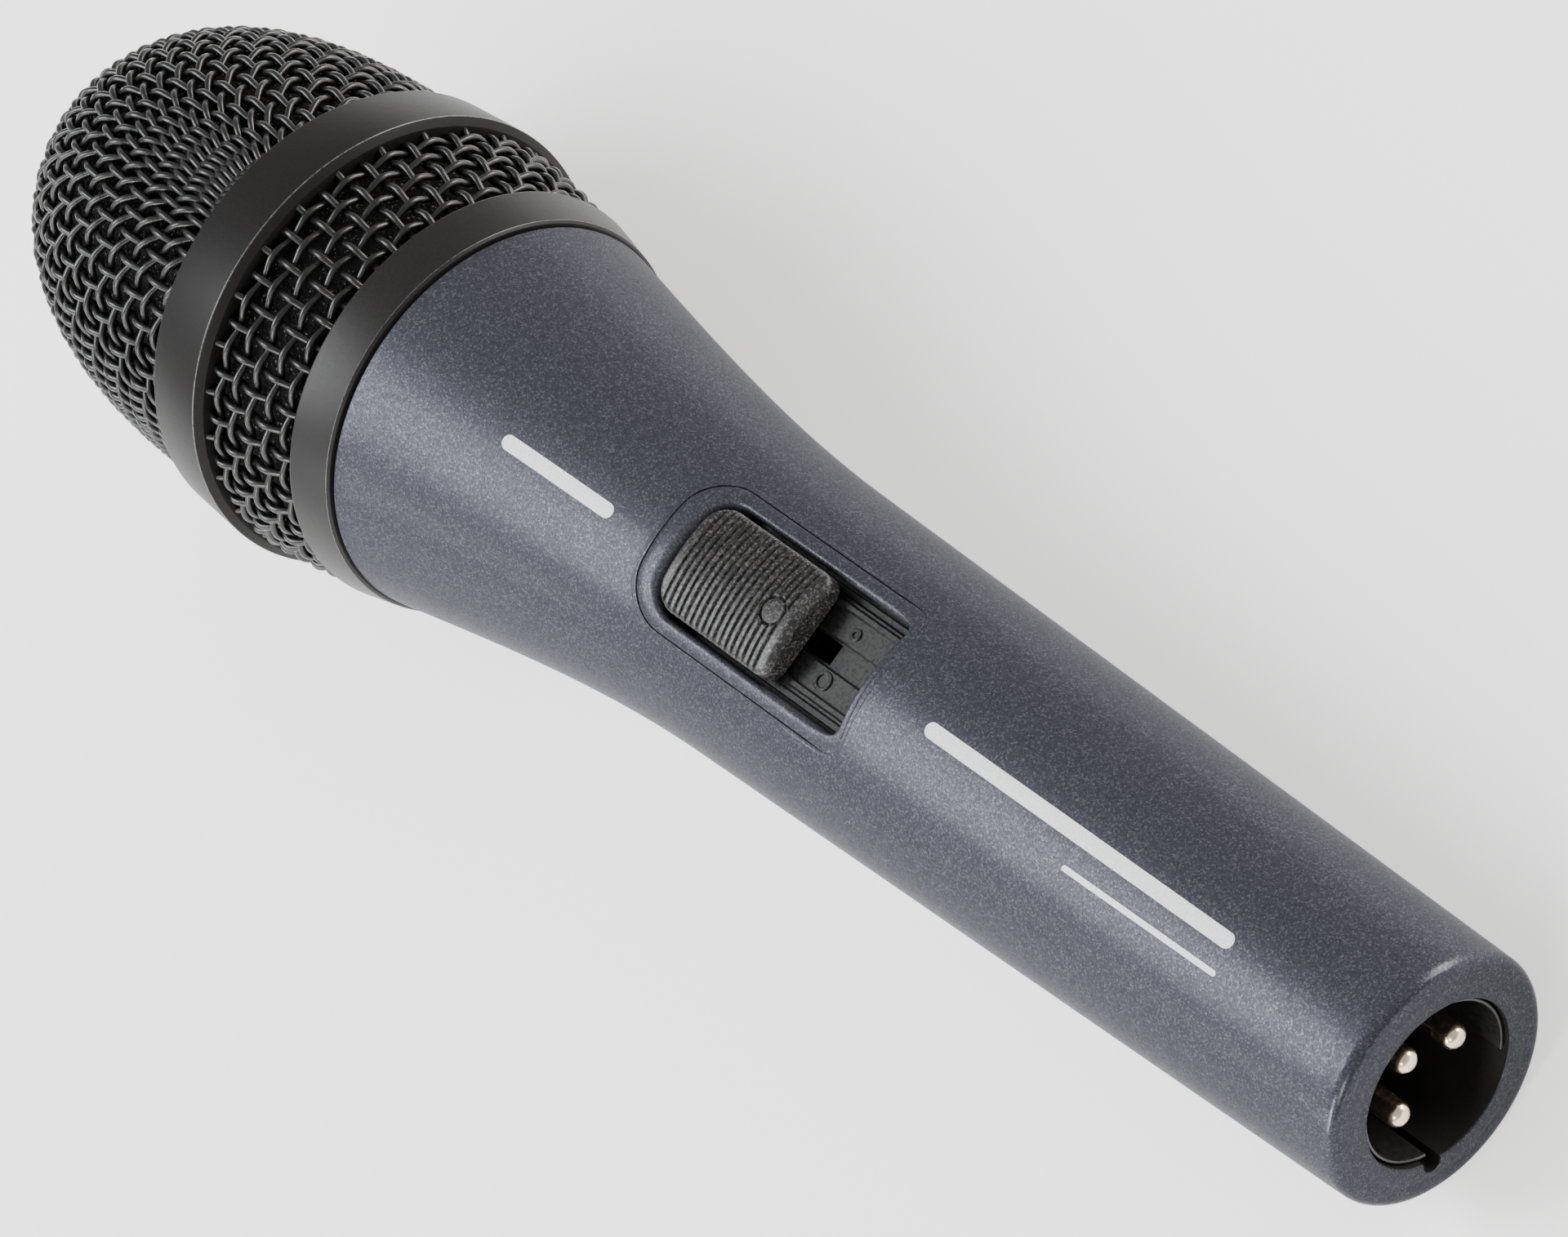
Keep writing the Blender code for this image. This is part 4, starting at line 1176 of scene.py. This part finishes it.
INSERT_R = 7.95
INSERT_LENGTH = 8.0
SLEEVE_INNER_R = 7.65
SLEEVE_REAR = 0.6
SLEEVE_START = -45  # degrees of azimuth where the sleeve starts, and how far it goes round
SLEEVE_SWEEP = 270
SLEEVE_STEPS = 120
PINS = ("pin_1", "pin_2", "pin_3")
PIN_R = 1.2
PIN_NOSE = 1.05  # length of a pin's rounded tip
NOSE_STEPS = 12


def pin_center(node):
    low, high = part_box(node)
    return (low.y + high.y) / 2 / MM, (low.z + high.z) / 2 / MM


def add_insert():
    """The moulded insert: a base that holds the pins and a sleeve open towards the underside."""
    end = SEAT + INSERT_LENGTH
    base = fillet([(SEAT, 0.0, 0), (SEAT, INSERT_R, 0.15), (end, INSERT_R, 0.3), (end, 0.0, 0)])
    root = SEAT + 0.2
    section = fillet([(SLEEVE_REAR, SLEEVE_INNER_R, 0.08), (SLEEVE_REAR, INSERT_R, 0.12),
                      (root, INSERT_R, 0), (root, SLEEVE_INNER_R, 0)], 4)
    rings = []
    for step in range(SLEEVE_STEPS + 1):
        turn = math.radians(SLEEVE_START + SLEEVE_SWEEP * step / SLEEVE_STEPS)
        rings.append([(x, r * math.cos(turn), r * math.sin(turn)) for x, r in section])
    shapes = [lathe(base, FINE), bridged(rings, caps=True)]
    root, face = SEAT + 0.1, SEAT - 0.35
    collar = fillet([(root, PIN_R + 0.12, 0), (face, PIN_R + 0.12, 0.08), (face, PIN_R + 0.75, 0.15),
                     (root, PIN_R + 0.9, 0)], 4)
    shapes += [lathe(collar, HOLE_SIDES, pin_center(node)) for node in PINS]
    stand_in("connector_moulding", joined(shapes), "connector_insert", "handle", "black_plastic", 35)


def add_pins():
    for node in PINS:
        tip, end, _ = size_of(node)
        turns = [math.pi / 2 * k / NOSE_STEPS for k in range(NOSE_STEPS + 1)]
        outline = [(tip + PIN_NOSE * (1 - math.cos(turn)), PIN_R * math.sin(turn)) for turn in turns]
        outline += [(end, PIN_R), (end, 0.0)]
        contact = lathe(outline, PIN_SIDES, pin_center(node))
        stand_in(node + "_contact", contact, node, "handle", "pin_plating", 50)


add_handle()
add_window_rim()
add_slider()
add_track()
add_insert()
add_pins()
add_capsule()
for name, bar in BARS.items():
    add_bar(name, *bar)
add_collar()
add_mid_ring()
add_dome_wires()
add_band_wires()
add_foam()
